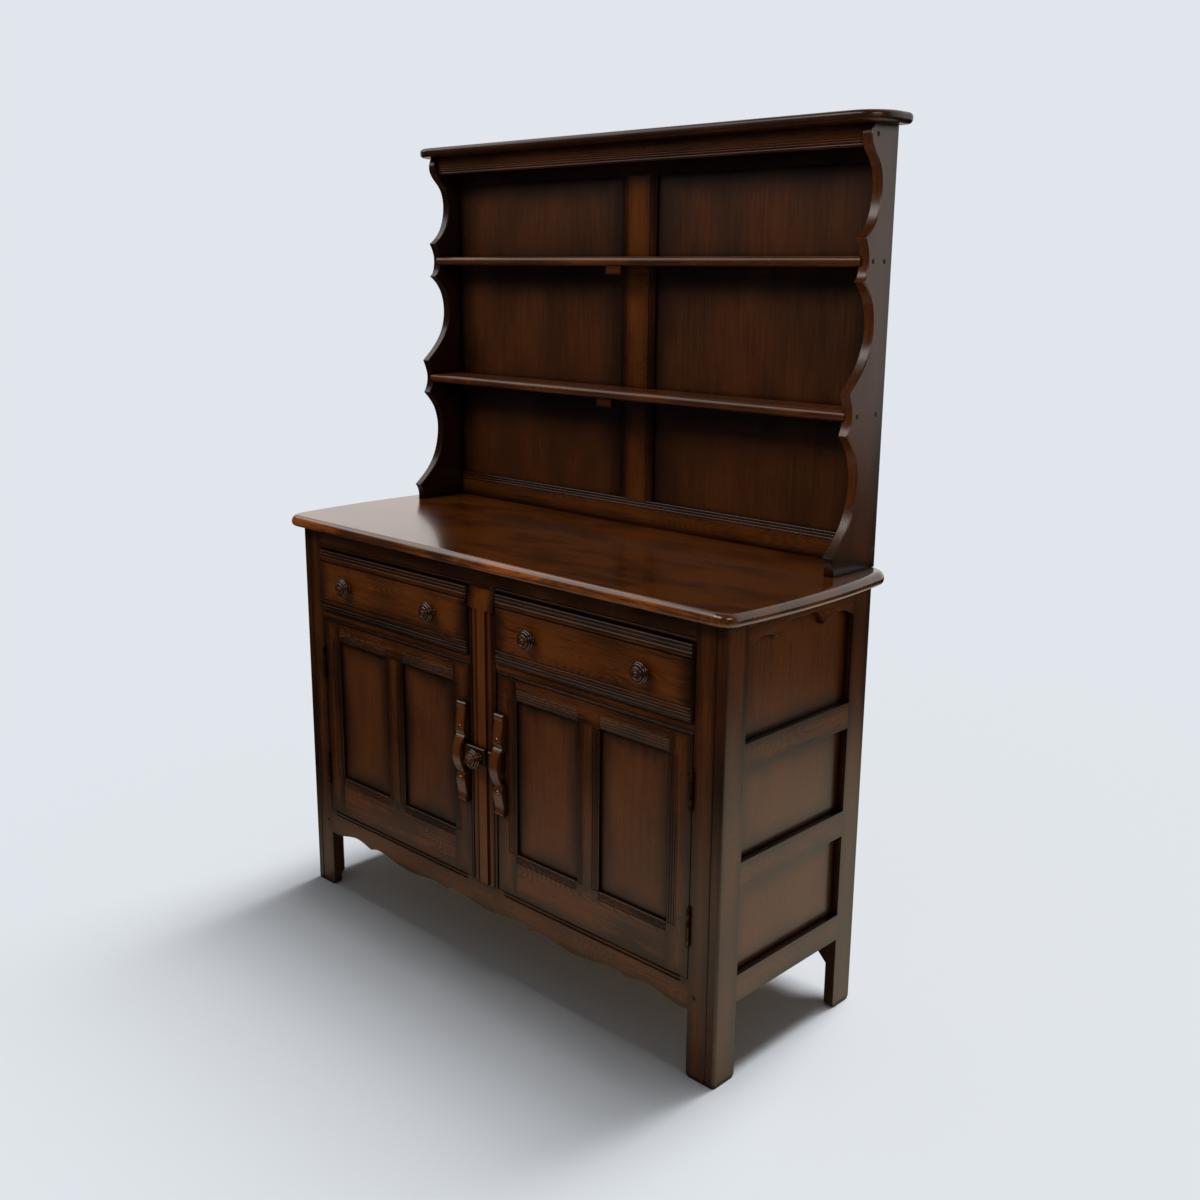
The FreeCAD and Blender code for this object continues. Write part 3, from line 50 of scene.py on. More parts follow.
# Weak even light from all round
AMBIENT = 0.13
LAMP_COLOUR = "FFFDF8"
LAMPS = (
    # name, place, what it points at, width, height, watts, whether it shows in the gloss
    ("front_window", (-0.4, -2.5, 3.5), (0.0, 0.0, 0.8), 2.6, 1.2, 40.0, True),
    ("front_ceiling", (-0.4, -2.5, 3.5), (0.0, 0.0, 0.8), 2.6, 1.2, 68.0, False),
    ("right_window", (3.2, -1.8, 2.9), (0.0, 0.0, 0.8), 1.4, 1.4, 21.0, True),
    ("left_window", (-2.1, -1.0, 3.0), (0.0, 0.0, 0.8), 2.8, 2.0, 28.0, True),
    ("back_window", (-2.2, 2.7, 2.7), (0.0, 0.0, 0.8), 2.4, 1.4, 60.0, False),
    ("lit_floor", (1.5, -0.1, 0.12), (0.54, 0.0, 0.25), 1.6, 0.5, 4.4, False),
)
# The overhead lights that draw the shadow on the floor stand in a row from above the dresser
# to behind it: how far each one's light goes left or right and forward for every metre down
OVERHEAD_LEANS = ((-0.08, -0.06), (0.0, -0.20), (-0.03, -0.34), (0.0, -0.48), (-0.04, -0.62))
OVERHEAD_SPREAD_DEGREES = 15.0

# Elm under dark brown stain: tone and colour of its dark, middle and light grain
GRAIN_COLOURS = ((0.25, "160802"), (0.5, "2C1303"), (0.78, "482205"))
# Elm rubbed back. It is rubbed less where the grain has the first tone and more where it has the second.
RUBBED_COLOUR = "522806"
RUBBED_TONES = (0.25, 0.75)
RUBBED_SHARES = (0.4, 1.6)
# Greys of one growth ring, from its dark edge to its light middle and back, and their mean
RING_GREYS = ((0.0, "505050"), (0.25, "8C8C8C"), (0.7, "C4C4C4"), (0.88, "B0B0B0"), (1.0, "505050"))
RING_MEAN = 0.35

# Elm's grain: width and length of a swelling, the rings across it, streaks, and clouds in the stain
SWELL_WIDTH = 60 * MM
SWELL_LENGTH = 340 * MM
SWELL_RINGS = 46.0
STREAK_WIDTH = 5 * MM
STREAK_LENGTH_RATIO = 26
CLOUD_WIDTH = 80 * MM
CLOUD_LENGTH = 170 * MM
# How deep streaks and clouds are in plain wood, and how much deeper in full figure
STREAK_DEPTH = (0.25, 0.9)
CLOUD_DEPTH = (0.35, 1.1)
# Real pores are a tenth as wide and wouldn't show. A pore starts and ends at these values of its noise.
PORE_WIDTH = 2 * MM
PORE_LENGTH = 26 * MM
PORE_EDGE = (0.56, 0.7)
PORE_DARKENING = 0.07
PORE_GROOVE = 0.6
# How far apart in the same grain two pieces are cut, in metres
GRAIN_STEP = (0.731, 1.377, 0.913)

# Lacquer: roughness of its gloss, and of the satin and the polish of some pieces
LACQUER_ROUGH = 0.24
LACQUER_IOR = 1.5
ROUGH_CHANGE = 0.02
SATIN_ROUGH = 0.33
POLISH_ROUGH = 0.12
HAND_POLISH = 0.8
RELIEF_DEPTH = 0.3 * MM
LACQUER_RELIEF = 0.06
SOFT_EDGE = 1.1 * MM
# Where the shade at a board's edge ends, in widths of that shade, and how far clouds push its border
SHADE_END = 1.8
SHADE_UNEVEN = 0.5
# Painted shade lies this near to an inner corner or to another piece. The fades say how open a point is,
# from 0 to 1, where the painted shade is deepest and gone, and where the shine is weakest and full.
CORNER_SHADE_REACH = 12 * MM
CORNER_SHADE_FADE = (0.3, 0.95)
CORNER_SHADE_LEFT = 0.3
SHINE_FADE = (0.58, 1.0)
SHINE = (0.04, 0.5)
# A side painted dark as shade keeps this much of its colour, and the painted shade fades in as faces turn
# towards it
SHADED_SIDE_FADE = (0.3, 0.6)
SHADED_SIDE_LEFT = 0.22

# Softwood: width and length of its bands and of its fine streaks
PINE_BANDS = (22 * MM, 900 * MM)
PINE_STREAKS = (2 * MM, 50 * MM)
PINE_STEP = (1.0, 0.6, 1.7)
# Tones of its dark, middle and light colour
PINE_TONES = (0.45, 0.7, 0.95)
PINE_RELIEF = 0.3
# Tarnish on brass gathers in patches of about 6 mm, rougher than the rest
PATCHES_PER_METRE = 160.0
TARNISH_FADE = (0.4, 0.62)
TARNISH_ROUGHER = 0.15
BRIGHT_SMOOTHER = 0.05

# How each elm piece is finished: direction of its grain, axes across which it is shaded, width of
# the shaded edge in millimetres, depth of that shade, how far its middle is rubbed, and strength
# of its figure. A depth below 0 is an edge worn lighter.
ELM_PIECES = {
    "front_stile": ("Z", "XZ", 14, 0.45, 0.25, 0.2),
    "side_front_leg": ("Z", "YZ", 12, 0.4, 0.45, 0.3),
    "side_rear_leg": ("Z", "YZ", 12, 0.4, 0.35, 0.3),
    "side_rails": ("Y", "YZ", 12, 0.4, 0.6, 0.55),
    "side_panels": ("Z", "YZ", 34, 0.55, 0.9, 0.2),
    "front_top_rail": ("X", "XZ", 14, 0.5, 0.1, 0.2),
    "drawer_rails": ("X", "XZ", 6, 0.4, 0.3, 0.3),
    "apron": ("X", "XZ", 14, 0.5, 0.35, 0.4),
    "centre_stile": ("Z", "XZ", 18, 0.5, 0.8, 0.2),
    "base_back_rails": ("X", "XZ", 20, 0.4, 0.2, 0.3),
    "door_stiles": ("Z", "XZ", 16, 0.55, 0.3, 0.3),
    "door_rails": ("X", "XZ", 18, 0.55, 0.4, 0.8),
    "door_muntin": ("Z", "XZ", 16, 0.55, 0.3, 0.3),
    "door_panels": ("Z", "XZ", 30, 0.65, 0.55, 0.2),
    "drawer_front": ("X", "XZ", 30, 0.65, 0.7, 0.38),
    "handle": ("Z", "XZ", 4, 0.35, 0.5, 0.2),
    "drawer_knobs": ("Z", "XZ", 8, 0.5, 0.1, 0.1),
    "latch_bar": ("X", "XZ", 8, 0.5, 0.3, 0.2),
    "latch_keeper": ("X", "XZ", 8, 0.5, 0.3, 0.2),
    "latch_knob": ("Z", "XZ", 8, 0.5, 0.3, 0.1),
    "latch_tongue": ("X", "XZ", 8, 0.5, 0.1, 0.1),
    "rack_side": ("Z", "YZ", 22, 0.6, 0.3, 0.25),
    "lower_shelf": ("X", "XY", 14, -0.6, 0.5, 0.2),
    "upper_shelf": ("X", "XY", 14, -0.6, 0.5, 0.2),
    "cornice": ("X", "XY", 20, 0.4, 0.2, 0.2),
    "frieze": ("X", "XZ", 10, 0.5, 0.4, 0.2),
    "shelf_blocks": ("X", "XZ", 4, 0.8, 0.0, 0.1),
    "rack_back_frame": ("X", "XZ", 16, 0.7, 0.35, 0.3),
    "rack_back_muntin": ("Z", "XZ", 24, 0.75, 0.55, 0.2),
    "rack_back_panels": ("Z", "XZ", 56, 0.8, 0.15, 0.1),
}
# Pieces polished by hands, and panels with a satin finish
HANDLED = ("drawer_knobs", "handle", "latch_knob")
SATIN = ("rack_back_panels", "door_panels")
# Which way the faces of the rack's sides look that are painted nearly black, a painted shade inside the rack
SHADED_SIDES = {"rack_side_left": (0.75, -0.66, 0.0), "rack_side_right": (-1.0, 0.0, 0.0)}
# Each bay of the rack's back is shaded as if it went on this far below the top of the shelf or worktop
# under it, so that its brown reaches down to there. The dark at a bay's top, under the shelf above, is
# painted shade.
BAY_BELOW = 50 * MM


def linear(code):
    """An sRGB hex colour as linear red, green, blue and alpha."""
    values = [int(code[i:i + 2], 16) / 255 for i in (0, 2, 4)]
    return [v / 12.92 if v <= 0.04045 else ((v + 0.055) / 1.055) ** 2.4 for v in values] + [1.0]


def add(tree, kind, inputs=None, stops=None, **settings):
    """Add a node with its settings; an input is another node's output or a value."""
    node = tree.nodes.new(kind)
    for key, value in settings.items():
        setattr(node, key, value)
    for key, value in (inputs or {}).items():
        if isinstance(value, bpy.types.NodeSocket):
            tree.links.new(value, node.inputs[key])
        else:
            node.inputs[key].default_value = value
    if stops:
        elements = node.color_ramp.elements
        while len(elements) < len(stops):
            elements.new(0.5)
        for element, (place, code) in zip(elements, stops):
            element.position = place
            element.color = linear(code)
    return node


def new_material(name):
    """An empty material with one shader. Returns it, its node tree and the shader."""
    material = bpy.data.materials.new(name)
    material.use_nodes = True
    tree = material.node_tree
    tree.nodes.clear()
    shader = add(tree, "ShaderNodeBsdfPrincipled")
    output = add(tree, "ShaderNodeOutputMaterial")
    tree.links.new(shader.outputs["BSDF"], output.inputs["Surface"])
    return material, tree, shader


def along(grain, across_size, along_size):
    """Scale of a pattern whose features are that large across and along the grain, in metres."""
    return [1 / (along_size if axis in grain else across_size) for axis in "XYZ"]


def edge_distance(tree, position, boards, axes):
    """Distance of a point to the nearest edge of the board that it is in, in metres."""
    parts = add(tree, "ShaderNodeSeparateXYZ", {0: position})
    best = None
    for low, high in boards:
        nearest = None
        for axis in axes:
            index = "XYZ".index(axis)
            from_low = add(tree, "ShaderNodeMath", {0: parts.outputs[axis], 1: low[index]},
                           operation="SUBTRACT")
            from_high = add(tree, "ShaderNodeMath", {0: high[index], 1: parts.outputs[axis]},
                            operation="SUBTRACT")
            here = add(tree, "ShaderNodeMath", {0: from_low.outputs[0], 1: from_high.outputs[0]},
                       operation="MINIMUM")
            if nearest is not None:
                here = add(tree, "ShaderNodeMath", {0: nearest.outputs[0], 1: here.outputs[0]},
                           operation="MINIMUM")
            nearest = here
        if best is not None:
            nearest = add(tree, "ShaderNodeMath", {0: best.outputs[0], 1: nearest.outputs[0]},
                          operation="MAXIMUM")
        best = nearest
    return best.outputs[0]


def elm_figure(tree, place, grain, figure, streak, contrast):
    """Elm's figure. Returns its tone, from 0, dark, to 1, light, and the streaks, pores and clouds
    in it."""
    # Growth rings are the contour lines of a slow swelling, drawn out along the grain
    slow = add(tree, "ShaderNodeVectorMath", {0: place, 1: along(grain, SWELL_WIDTH, SWELL_LENGTH)},
               operation="MULTIPLY")
    swell = add(tree, "ShaderNodeTexNoise", {"Vector": slow.outputs[0], "Scale": 1.0, "Detail": 1.0,
                                             "Roughness": 0.3})
    count = add(tree, "ShaderNodeMath", {0: swell.outputs["Fac"], 1: SWELL_RINGS}, operation="MULTIPLY")
    ring = add(tree, "ShaderNodeMath", {0: count.outputs[0]}, operation="FRACT")
    ring_tone = add(tree, "ShaderNodeValToRGB", {0: ring.outputs[0]}, stops=RING_GREYS)
    # Streaks and pores run along the grain, and the stain has slow clouds
    streak_scale = along(grain, streak, STREAK_LENGTH_RATIO * streak)
    streak_place = add(tree, "ShaderNodeVectorMath", {0: place, 1: streak_scale}, operation="MULTIPLY")
    streaks = add(tree, "ShaderNodeTexNoise", {"Vector": streak_place.outputs[0], "Scale": 1.0,
                                               "Detail": 4.0, "Roughness": 0.62})
    pore_place = add(tree, "ShaderNodeVectorMath", {0: place, 1: along(grain, PORE_WIDTH, PORE_LENGTH)},
                     operation="MULTIPLY")
    pore_noise = add(tree, "ShaderNodeTexNoise", {"Vector": pore_place.outputs[0], "Scale": 1.0,
                                                  "Detail": 1.0})
    pores = add(tree, "ShaderNodeMapRange", {"Value": pore_noise.outputs["Fac"],
                                             "From Min": PORE_EDGE[0], "From Max": PORE_EDGE[1]})
    cloud_place = add(tree, "ShaderNodeVectorMath", {0: place, 1: along(grain, CLOUD_WIDTH, CLOUD_LENGTH)},
                      operation="MULTIPLY")
    clouds = add(tree, "ShaderNodeTexNoise", {"Vector": cloud_place.outputs[0], "Scale": 1.0, "Detail": 2.0})
    # Each pattern swings about a middle tone of 0.5
    streak_depth = contrast * (STREAK_DEPTH[0] + STREAK_DEPTH[1] * figure)
    cloud_depth = contrast * (CLOUD_DEPTH[0] + CLOUD_DEPTH[1] * figure)
    base = 0.5 - 0.5 * (streak_depth + cloud_depth) - RING_MEAN * figure
    tone = add(tree, "ShaderNodeMath", {0: ring_tone.outputs[0], 1: figure, 2: base},
               operation="MULTIPLY_ADD")
    tone = add(tree, "ShaderNodeMath", {0: streaks.outputs["Fac"], 1: streak_depth, 2: tone.outputs[0]},
               operation="MULTIPLY_ADD")
    tone = add(tree, "ShaderNodeMath", {0: clouds.outputs["Fac"], 1: cloud_depth, 2: tone.outputs[0]},
               operation="MULTIPLY_ADD")
    tone = add(tree, "ShaderNodeMath", {0: pores.outputs[0], 1: -PORE_DARKENING, 2: tone.outputs[0]},
               operation="MULTIPLY_ADD")
    return tone.outputs[0], streaks.outputs["Fac"], pores.outputs[0], clouds.outputs["Fac"]


def board_middle(tree, position, normal, boards, axes, shade, clouds):
    """1 in the middle of a board and 0 at its edges, along an uneven border. The back is even."""
    distance = edge_distance(tree, position, boards, axes)
    uneven = add(tree, "ShaderNodeMath", {0: clouds, 1: SHADE_UNEVEN * shade, 2: distance},
                 operation="MULTIPLY_ADD")
    middle = add(tree, "ShaderNodeMapRange", {"Value": uneven.outputs[0], "From Min": 0.0,
                                              "From Max": SHADE_END * shade},
                 interpolation_type="SMOOTHSTEP")
    rear = add(tree, "ShaderNodeVectorMath", {0: normal, 1: (0.0, 1.0, 0.0)}, operation="DOT_PRODUCT")
    return add(tree, "ShaderNodeMath", {0: middle.outputs[0], 1: rear.outputs["Value"]},
               operation="MAXIMUM").outputs[0]


def elm_colour(tree, tone, middle, depth, rubbed):
    """Stained grain, rubbed back between its dark lines in the middle of a board and shaded at its
    edges."""
    grain_colour = add(tree, "ShaderNodeValToRGB", {0: tone}, stops=GRAIN_COLOURS)
    between = add(tree, "ShaderNodeMapRange", {"Value": tone,
                                               "From Min": RUBBED_TONES[0], "From Max": RUBBED_TONES[1],
                                               "To Min": RUBBED_SHARES[0] * rubbed,
                                               "To Max": RUBBED_SHARES[1] * rubbed})
    share = add(tree, "ShaderNodeMath", {0: middle, 1: between.outputs[0]}, operation="MULTIPLY")
    colour = add(tree, "ShaderNodeMix", {0: share.outputs[0], 6: grain_colour.outputs[0],
                                         7: linear(RUBBED_COLOUR)}, data_type="RGBA")
    light = add(tree, "ShaderNodeMapRange", {"Value": middle, "To Min": 1 - depth, "To Max": 1.0})
    return add(tree, "ShaderNodeVectorMath", {0: colour.outputs[2], "Scale": light.outputs[0]},
               operation="SCALE").outputs[0]


def stained_elm(name, grain, seed, boards, axes, shade, depth, rubbed, figure,
                rough=LACQUER_ROUGH, polish=0.0, shaded_side=None, streak=STREAK_WIDTH, contrast=1.0):
    """Sawn elm, stained dark brown and lacquered: rings, streaks and pores along the grain, painted shade in
    the mouldings and corners, and a warm brown where hands and cloths have rubbed the middle of each board.

    The seed picks a stretch of the grain. ELM_PIECES says what grain, axes, shade, depth, rubbed and
    figure are; here the shade is in metres. Streak and contrast are the width and strength of streaks."""
    material, tree, shader = new_material(name)
    position = add(tree, "ShaderNodeTexCoord").outputs["Object"]
    normal = add(tree, "ShaderNodeTexCoord").outputs["Normal"]
    place = add(tree, "ShaderNodeVectorMath", {0: position, 1: [seed * step for step in GRAIN_STEP]},
                operation="ADD").outputs[0]
    tone, streaks, pores, clouds = elm_figure(tree, place, grain, figure, streak, contrast)
    middle = board_middle(tree, position, normal, boards, axes, shade, clouds)
    colour = elm_colour(tree, tone, middle, depth, rubbed)
    # A face that looks this way is painted nearly black, a painted shade inside the rack where little light
    # reaches
    if shaded_side is not None:
        facing = add(tree, "ShaderNodeVectorMath", {0: normal, 1: shaded_side}, operation="DOT_PRODUCT")
        dark = add(tree, "ShaderNodeMapRange", {"Value": facing.outputs["Value"], "To Min": 1.0,
                                                "To Max": SHADED_SIDE_LEFT, "From Min": SHADED_SIDE_FADE[0],
                                                "From Max": SHADED_SIDE_FADE[1]})
        colour = add(tree, "ShaderNodeVectorMath", {0: colour, "Scale": dark.outputs[0]},
                     operation="SCALE").outputs[0]
    # Painted shade: ambient occlusion darkens the colour in quirks, corners and next to other pieces, and
    # weakens the shine there
    cavity = add(tree, "ShaderNodeAmbientOcclusion", {"Distance": CORNER_SHADE_REACH}, samples=6, only_local=False)
    corner_unshaded = add(tree, "ShaderNodeMapRange", {"Value": cavity.outputs["AO"], "From Min": CORNER_SHADE_FADE[0],
                                             "From Max": CORNER_SHADE_FADE[1], "To Min": CORNER_SHADE_LEFT, "To Max": 1.0})
    colour = add(tree, "ShaderNodeVectorMath", {0: colour, "Scale": corner_unshaded.outputs[0]}, operation="SCALE")
    tree.links.new(colour.outputs[0], shader.inputs["Base Color"])
    shine = add(tree, "ShaderNodeMapRange", {"Value": cavity.outputs["AO"], "From Min": SHINE_FADE[0],
                                             "From Max": SHINE_FADE[1], "To Min": SHINE[0],
                                             "To Max": SHINE[1]})
    tree.links.new(shine.outputs[0], shader.inputs["Specular IOR Level"])
    gloss = add(tree, "ShaderNodeMapRange", {"Value": streaks, "From Min": 0.3, "From Max": 0.7,
                                             "To Min": rough - ROUGH_CHANGE, "To Max": rough + ROUGH_CHANGE})
    tree.links.new(gloss.outputs[0], shader.inputs["Roughness"])
    # Open pores are shallow grooves in the lacquer, and every edge is worn a little round
    relief = add(tree, "ShaderNodeMath", {0: pores, 1: -PORE_GROOVE, 2: streaks}, operation="MULTIPLY_ADD")
    edge = add(tree, "ShaderNodeBevel", {"Radius": SOFT_EDGE}, samples=4)
    bump = add(tree, "ShaderNodeBump", {"Height": relief.outputs[0], "Strength": LACQUER_RELIEF,
                                        "Distance": RELIEF_DEPTH, "Normal": edge.outputs[0]})
    tree.links.new(bump.outputs[0], shader.inputs["Normal"])
    shader.inputs["IOR"].default_value = LACQUER_IOR
    shader.inputs["Coat Weight"].default_value = polish
    shader.inputs["Coat Roughness"].default_value = POLISH_ROUGH
    return material


def plain_wood(name, grain, dark, middle, light, seed, rough=0.6):
    """Planed softwood or pressed board, bare or thinly varnished: pale bands and fine streaks, and
    hardly a shine."""
    material, tree, shader = new_material(name)
    position = add(tree, "ShaderNodeTexCoord").outputs["Object"]
    place = add(tree, "ShaderNodeVectorMath", {0: position, 1: [seed * step for step in PINE_STEP]},
                operation="ADD").outputs[0]
    slow = add(tree, "ShaderNodeVectorMath", {0: place, 1: along(grain, *PINE_BANDS)},
               operation="MULTIPLY")
    bands = add(tree, "ShaderNodeTexNoise", {"Vector": slow.outputs[0], "Scale": 1.0, "Detail": 2.0})
    fine = add(tree, "ShaderNodeVectorMath", {0: place, 1: along(grain, *PINE_STREAKS)},
               operation="MULTIPLY")
    streaks = add(tree, "ShaderNodeTexNoise", {"Vector": fine.outputs[0], "Scale": 1.0, "Detail": 3.0})
    tone = add(tree, "ShaderNodeMath", {0: streaks.outputs["Fac"], 1: 0.4, 2: bands.outputs["Fac"]},
               operation="MULTIPLY_ADD")
    colour = add(tree, "ShaderNodeValToRGB", {0: tone.outputs[0]},
                 stops=tuple(zip(PINE_TONES, (dark, middle, light))))
    tree.links.new(colour.outputs[0], shader.inputs["Base Color"])
    bump = add(tree, "ShaderNodeBump", {"Height": streaks.outputs["Fac"], "Strength": PINE_RELIEF,
                                        "Distance": RELIEF_DEPTH})
    tree.links.new(bump.outputs[0], shader.inputs["Normal"])
    shader.inputs["Roughness"].default_value = rough
    shader.inputs["IOR"].default_value = LACQUER_IOR
    return material


def aged_brass(name, bright, tarnish, rough):
    """Cast or turned brass gone brown: smoother and brighter where it is rubbed, dull in patches."""
    material, tree, shader = new_material(name)
    position = add(tree, "ShaderNodeTexCoord").outputs["Object"]
    patches = add(tree, "ShaderNodeTexNoise", {"Vector": position, "Scale": PATCHES_PER_METRE,
                                               "Detail": 4.0})
    colour = add(tree, "ShaderNodeValToRGB", {0: patches.outputs["Fac"]},
                 stops=tuple(zip(TARNISH_FADE, (tarnish, bright))))
    tree.links.new(colour.outputs[0], shader.inputs["Base Color"])
    gloss = add(tree, "ShaderNodeMapRange", {"Value": patches.outputs["Fac"],
                                             "To Min": rough + TARNISH_ROUGHER,
                                             "To Max": rough - BRIGHT_SMOOTHER})
    tree.links.new(gloss.outputs[0], shader.inputs["Roughness"])
    shader.inputs["Metallic"].default_value = 1.0
    return material


def dress(node, material):
    """Give a piece its finish."""
    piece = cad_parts[node]
    if not piece.material_slots:
        piece.data.materials.append(material)
    for slot in piece.material_slots:
        slot.material = material


def boards_of(node):
    """Lowest and highest corner of each separate board in a piece."""
    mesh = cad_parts[node].data
    # Corners that edges join belong to one board, known by one of its corners
    owner = {}

    def root(key):
        while owner[key] != key:
            owner[key] = owner[owner[key]]
            key = owner[key]
        return key

    keys = [tuple(round(c / (0.01 * MM)) for c in vertex.co) for vertex in mesh.vertices]
    for key in keys:
        owner[key] = key
    for edge in mesh.edges:
        first, second = (root(keys[i]) for i in edge.vertices)
        owner[first] = second
    boxes = {}
    for key, vertex in zip(keys, mesh.vertices):
        low, high = boxes.setdefault(root(key), (list(vertex.co), list(vertex.co)))
        for i, value in enumerate(vertex.co):
            low[i] = min(low[i], value)
            high[i] = max(high[i], value)
    return list(boxes.values())


def rack_bays(boards):
    """Cut the boards behind the rack's shelves into the bays that the shelves make of them; each bay's top,
    under a shelf, gets painted shade.
    """
    shelves = [boards_of(node)[0] for node in ("worktop", "lower_shelf", "upper_shelf", "frieze")]
    bays = []
    for below, above in zip(shelves, shelves[1:]):
        for low, high in boards:
            bays.append(((low[0], low[1], below[1][2] - BAY_BELOW), (high[0], high[1], above[0][2])))
    return bays


def shaded_boards(node):
    """The boxes whose edges the finish of a piece is shaded towards."""
    boards = boards_of(node)
    # Behind the rack the edge shade is cut by bay: painted shade under each shelf
    if node in ("rack_back_muntin", "rack_back_panels"):
        return rack_bays(boards)
    # Of the back's frame only the lowest rail has a lighter middle; the rest is as dark as a board's edge, a
    # painted shade under the frieze
    if node == "rack_back_frame":
        return [min(boards, key=lambda board: board[0][2])]
    return boards


def dress_elm():
    """Stained elm on every piece of it, each with its own stretch of grain."""
    for number, (piece, (grain, axes, shade, depth, rubbed, figure)) in enumerate(ELM_PIECES.items()):
        for count, node in enumerate((piece, piece + "_left", piece + "_right")):
            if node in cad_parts:
                dress(node, stained_elm("lacquered_elm_" + node, grain, 3 * number + count + 1,
                                        shaded_boards(node), axes, shade * MM, depth, rubbed, figure,
                                        rough=SATIN_ROUGH if piece in SATIN else LACQUER_ROUGH,
                                        polish=HAND_POLISH if piece in HANDLED else 0.0,
                                        shaded_side=SHADED_SIDES.get(node)))
    dress("worktop", stained_elm("polished_elm_worktop", "X", 97, boards_of("worktop"), "Y", shade=9 * MM,
                                 depth=-2.4, rubbed=0.85, figure=0.3, rough=0.22, polish=0.6,
                                 streak=6 * MM, contrast=2.6))


def dress_inside():
    """Varnished pine in the cupboard, bare pine in the drawers and a hardboard back."""
    for number, node in enumerate(("cupboard_floor", "cupboard_shelf", "cupboard_bearers")):
        dress(node, plain_wood("varnished_pine_" + node, "X", "7A5530", "96703F", "AE8856", number))
    # A drawer box has its grain level on every side
    for number, (node, grain) in enumerate((("drawer_box_left", "XY"), ("drawer_box_right", "XY"),
                                            ("drawer_runners", "Y"))):
        dress(node, plain_wood("bare_pine_" + node, grain, "8A6236", "A87C49", "BE9562", number + 3))
    dress("base_back_panel", plain_wood("brown_hardboard_back_panel", "Z", "5A3B22", "68472B", "745033", 7))


def dress_fittings():
    """Aged brass hinges and catches, bronzed studs and dark end grain on pegs and plugs."""
    brass = aged_brass("aged_brass_hinges", "5A4228", "2A1C10", 0.34)
    for node in ("hinge_frame_leaves", "hinge_pins", "hinge_door_leaves_left", "hinge_door_leaves_right",
                 "ball_catches"):
        dress(node, brass)
    bronze = aged_brass("bronzed_brass_studs", "A58F78", "5A4A3C", 0.2)
    for node in ("handle_studs_left", "handle_studs_right"):
        dress(node, bronze)
    peg = plain_wood("dark_end_grain_pegs", "Y", "0C0603", "120904", "1E1008", 5, rough=0.8)
    for node in ("frame_pegs", "rack_plugs", "rack_dowels"):
        dress(node, peg)


def aim(lamp, place, target):
    """Put a lamp in its place and point it."""
    lamp.location = place
    direction = Vector(target) - Vector(place)
    lamp.rotation_euler = direction.to_track_quat("-Z", "Y").to_euler()


def linked(name, pieces, state):
    """A collection that links a lamp to these pieces alone, INCLUDE, or to all others, EXCLUDE."""
    group = bpy.data.collections.new(name)
    for piece in pieces:
        group.objects.link(piece)
    for entry in group.collection_objects:
        entry.light_linking.link_state = state
    return group


def make_windows(floor):
    """Soft windows that light the dresser and not the floor."""
    for name, place, target, width, height, watts, shows in LAMPS:
        light = bpy.data.lights.new(name, "AREA")
        light.shape = "RECTANGLE"
        light.size = width
        light.size_y = height
        light.energy = watts
        light.color = linear(LAMP_COLOUR)[:3]
        lamp = bpy.data.objects.new(name, light)
        lamp.visible_camera = False
        lamp.visible_glossy = shows
        bpy.context.scene.collection.objects.link(lamp)
        aim(lamp, place, target)
        lamp.light_linking.receiver_collection = linked("lit_by_" + name, [floor], "EXCLUDE")


def make_overhead_lights(floor):
    """Lights for the floor alone. The body of the dresser draws the shadow, not the boards that
    overhang it."""
    overhangs = [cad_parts[node] for node in ("worktop", "cornice")]
    for number, (sideways, forward) in enumerate(OVERHEAD_LEANS):
        name = "overhead_" + str(number)
        light = bpy.data.lights.new(name, "SUN")
        light.angle = math.radians(OVERHEAD_SPREAD_DEGREES)
        direction = Vector((sideways, forward, -1)).normalized()
        # With the ambient light, they bring the open floor to exactly the backdrop's colour
        light.energy = math.pi * (1 - AMBIENT) / len(OVERHEAD_LEANS) / -direction.z
        lamp = bpy.data.objects.new(name, light)
        bpy.context.scene.collection.objects.link(lamp)
        aim(lamp, -direction, (0, 0, 0))
        lamp.light_linking.receiver_collection = linked("lit_by_" + name, [floor], "INCLUDE")
        lamp.light_linking.blocker_collection = linked("shaded_by_" + name, overhangs, "EXCLUDE")


def ray_kinds(tree):
    """Two outputs: 1 for rays in the gloss, and 1 for rays that see the plain backdrop, which come
    from the camera or through glass."""
    path = add(tree, "ShaderNodeLightPath")
    direct = add(tree, "ShaderNodeMath", {0: path.outputs["Is Camera Ray"],
                                          1: path.outputs["Is Transmission Ray"]}, operation="MAXIMUM")
    return path.outputs["Is Glossy Ray"], direct.outputs[0]


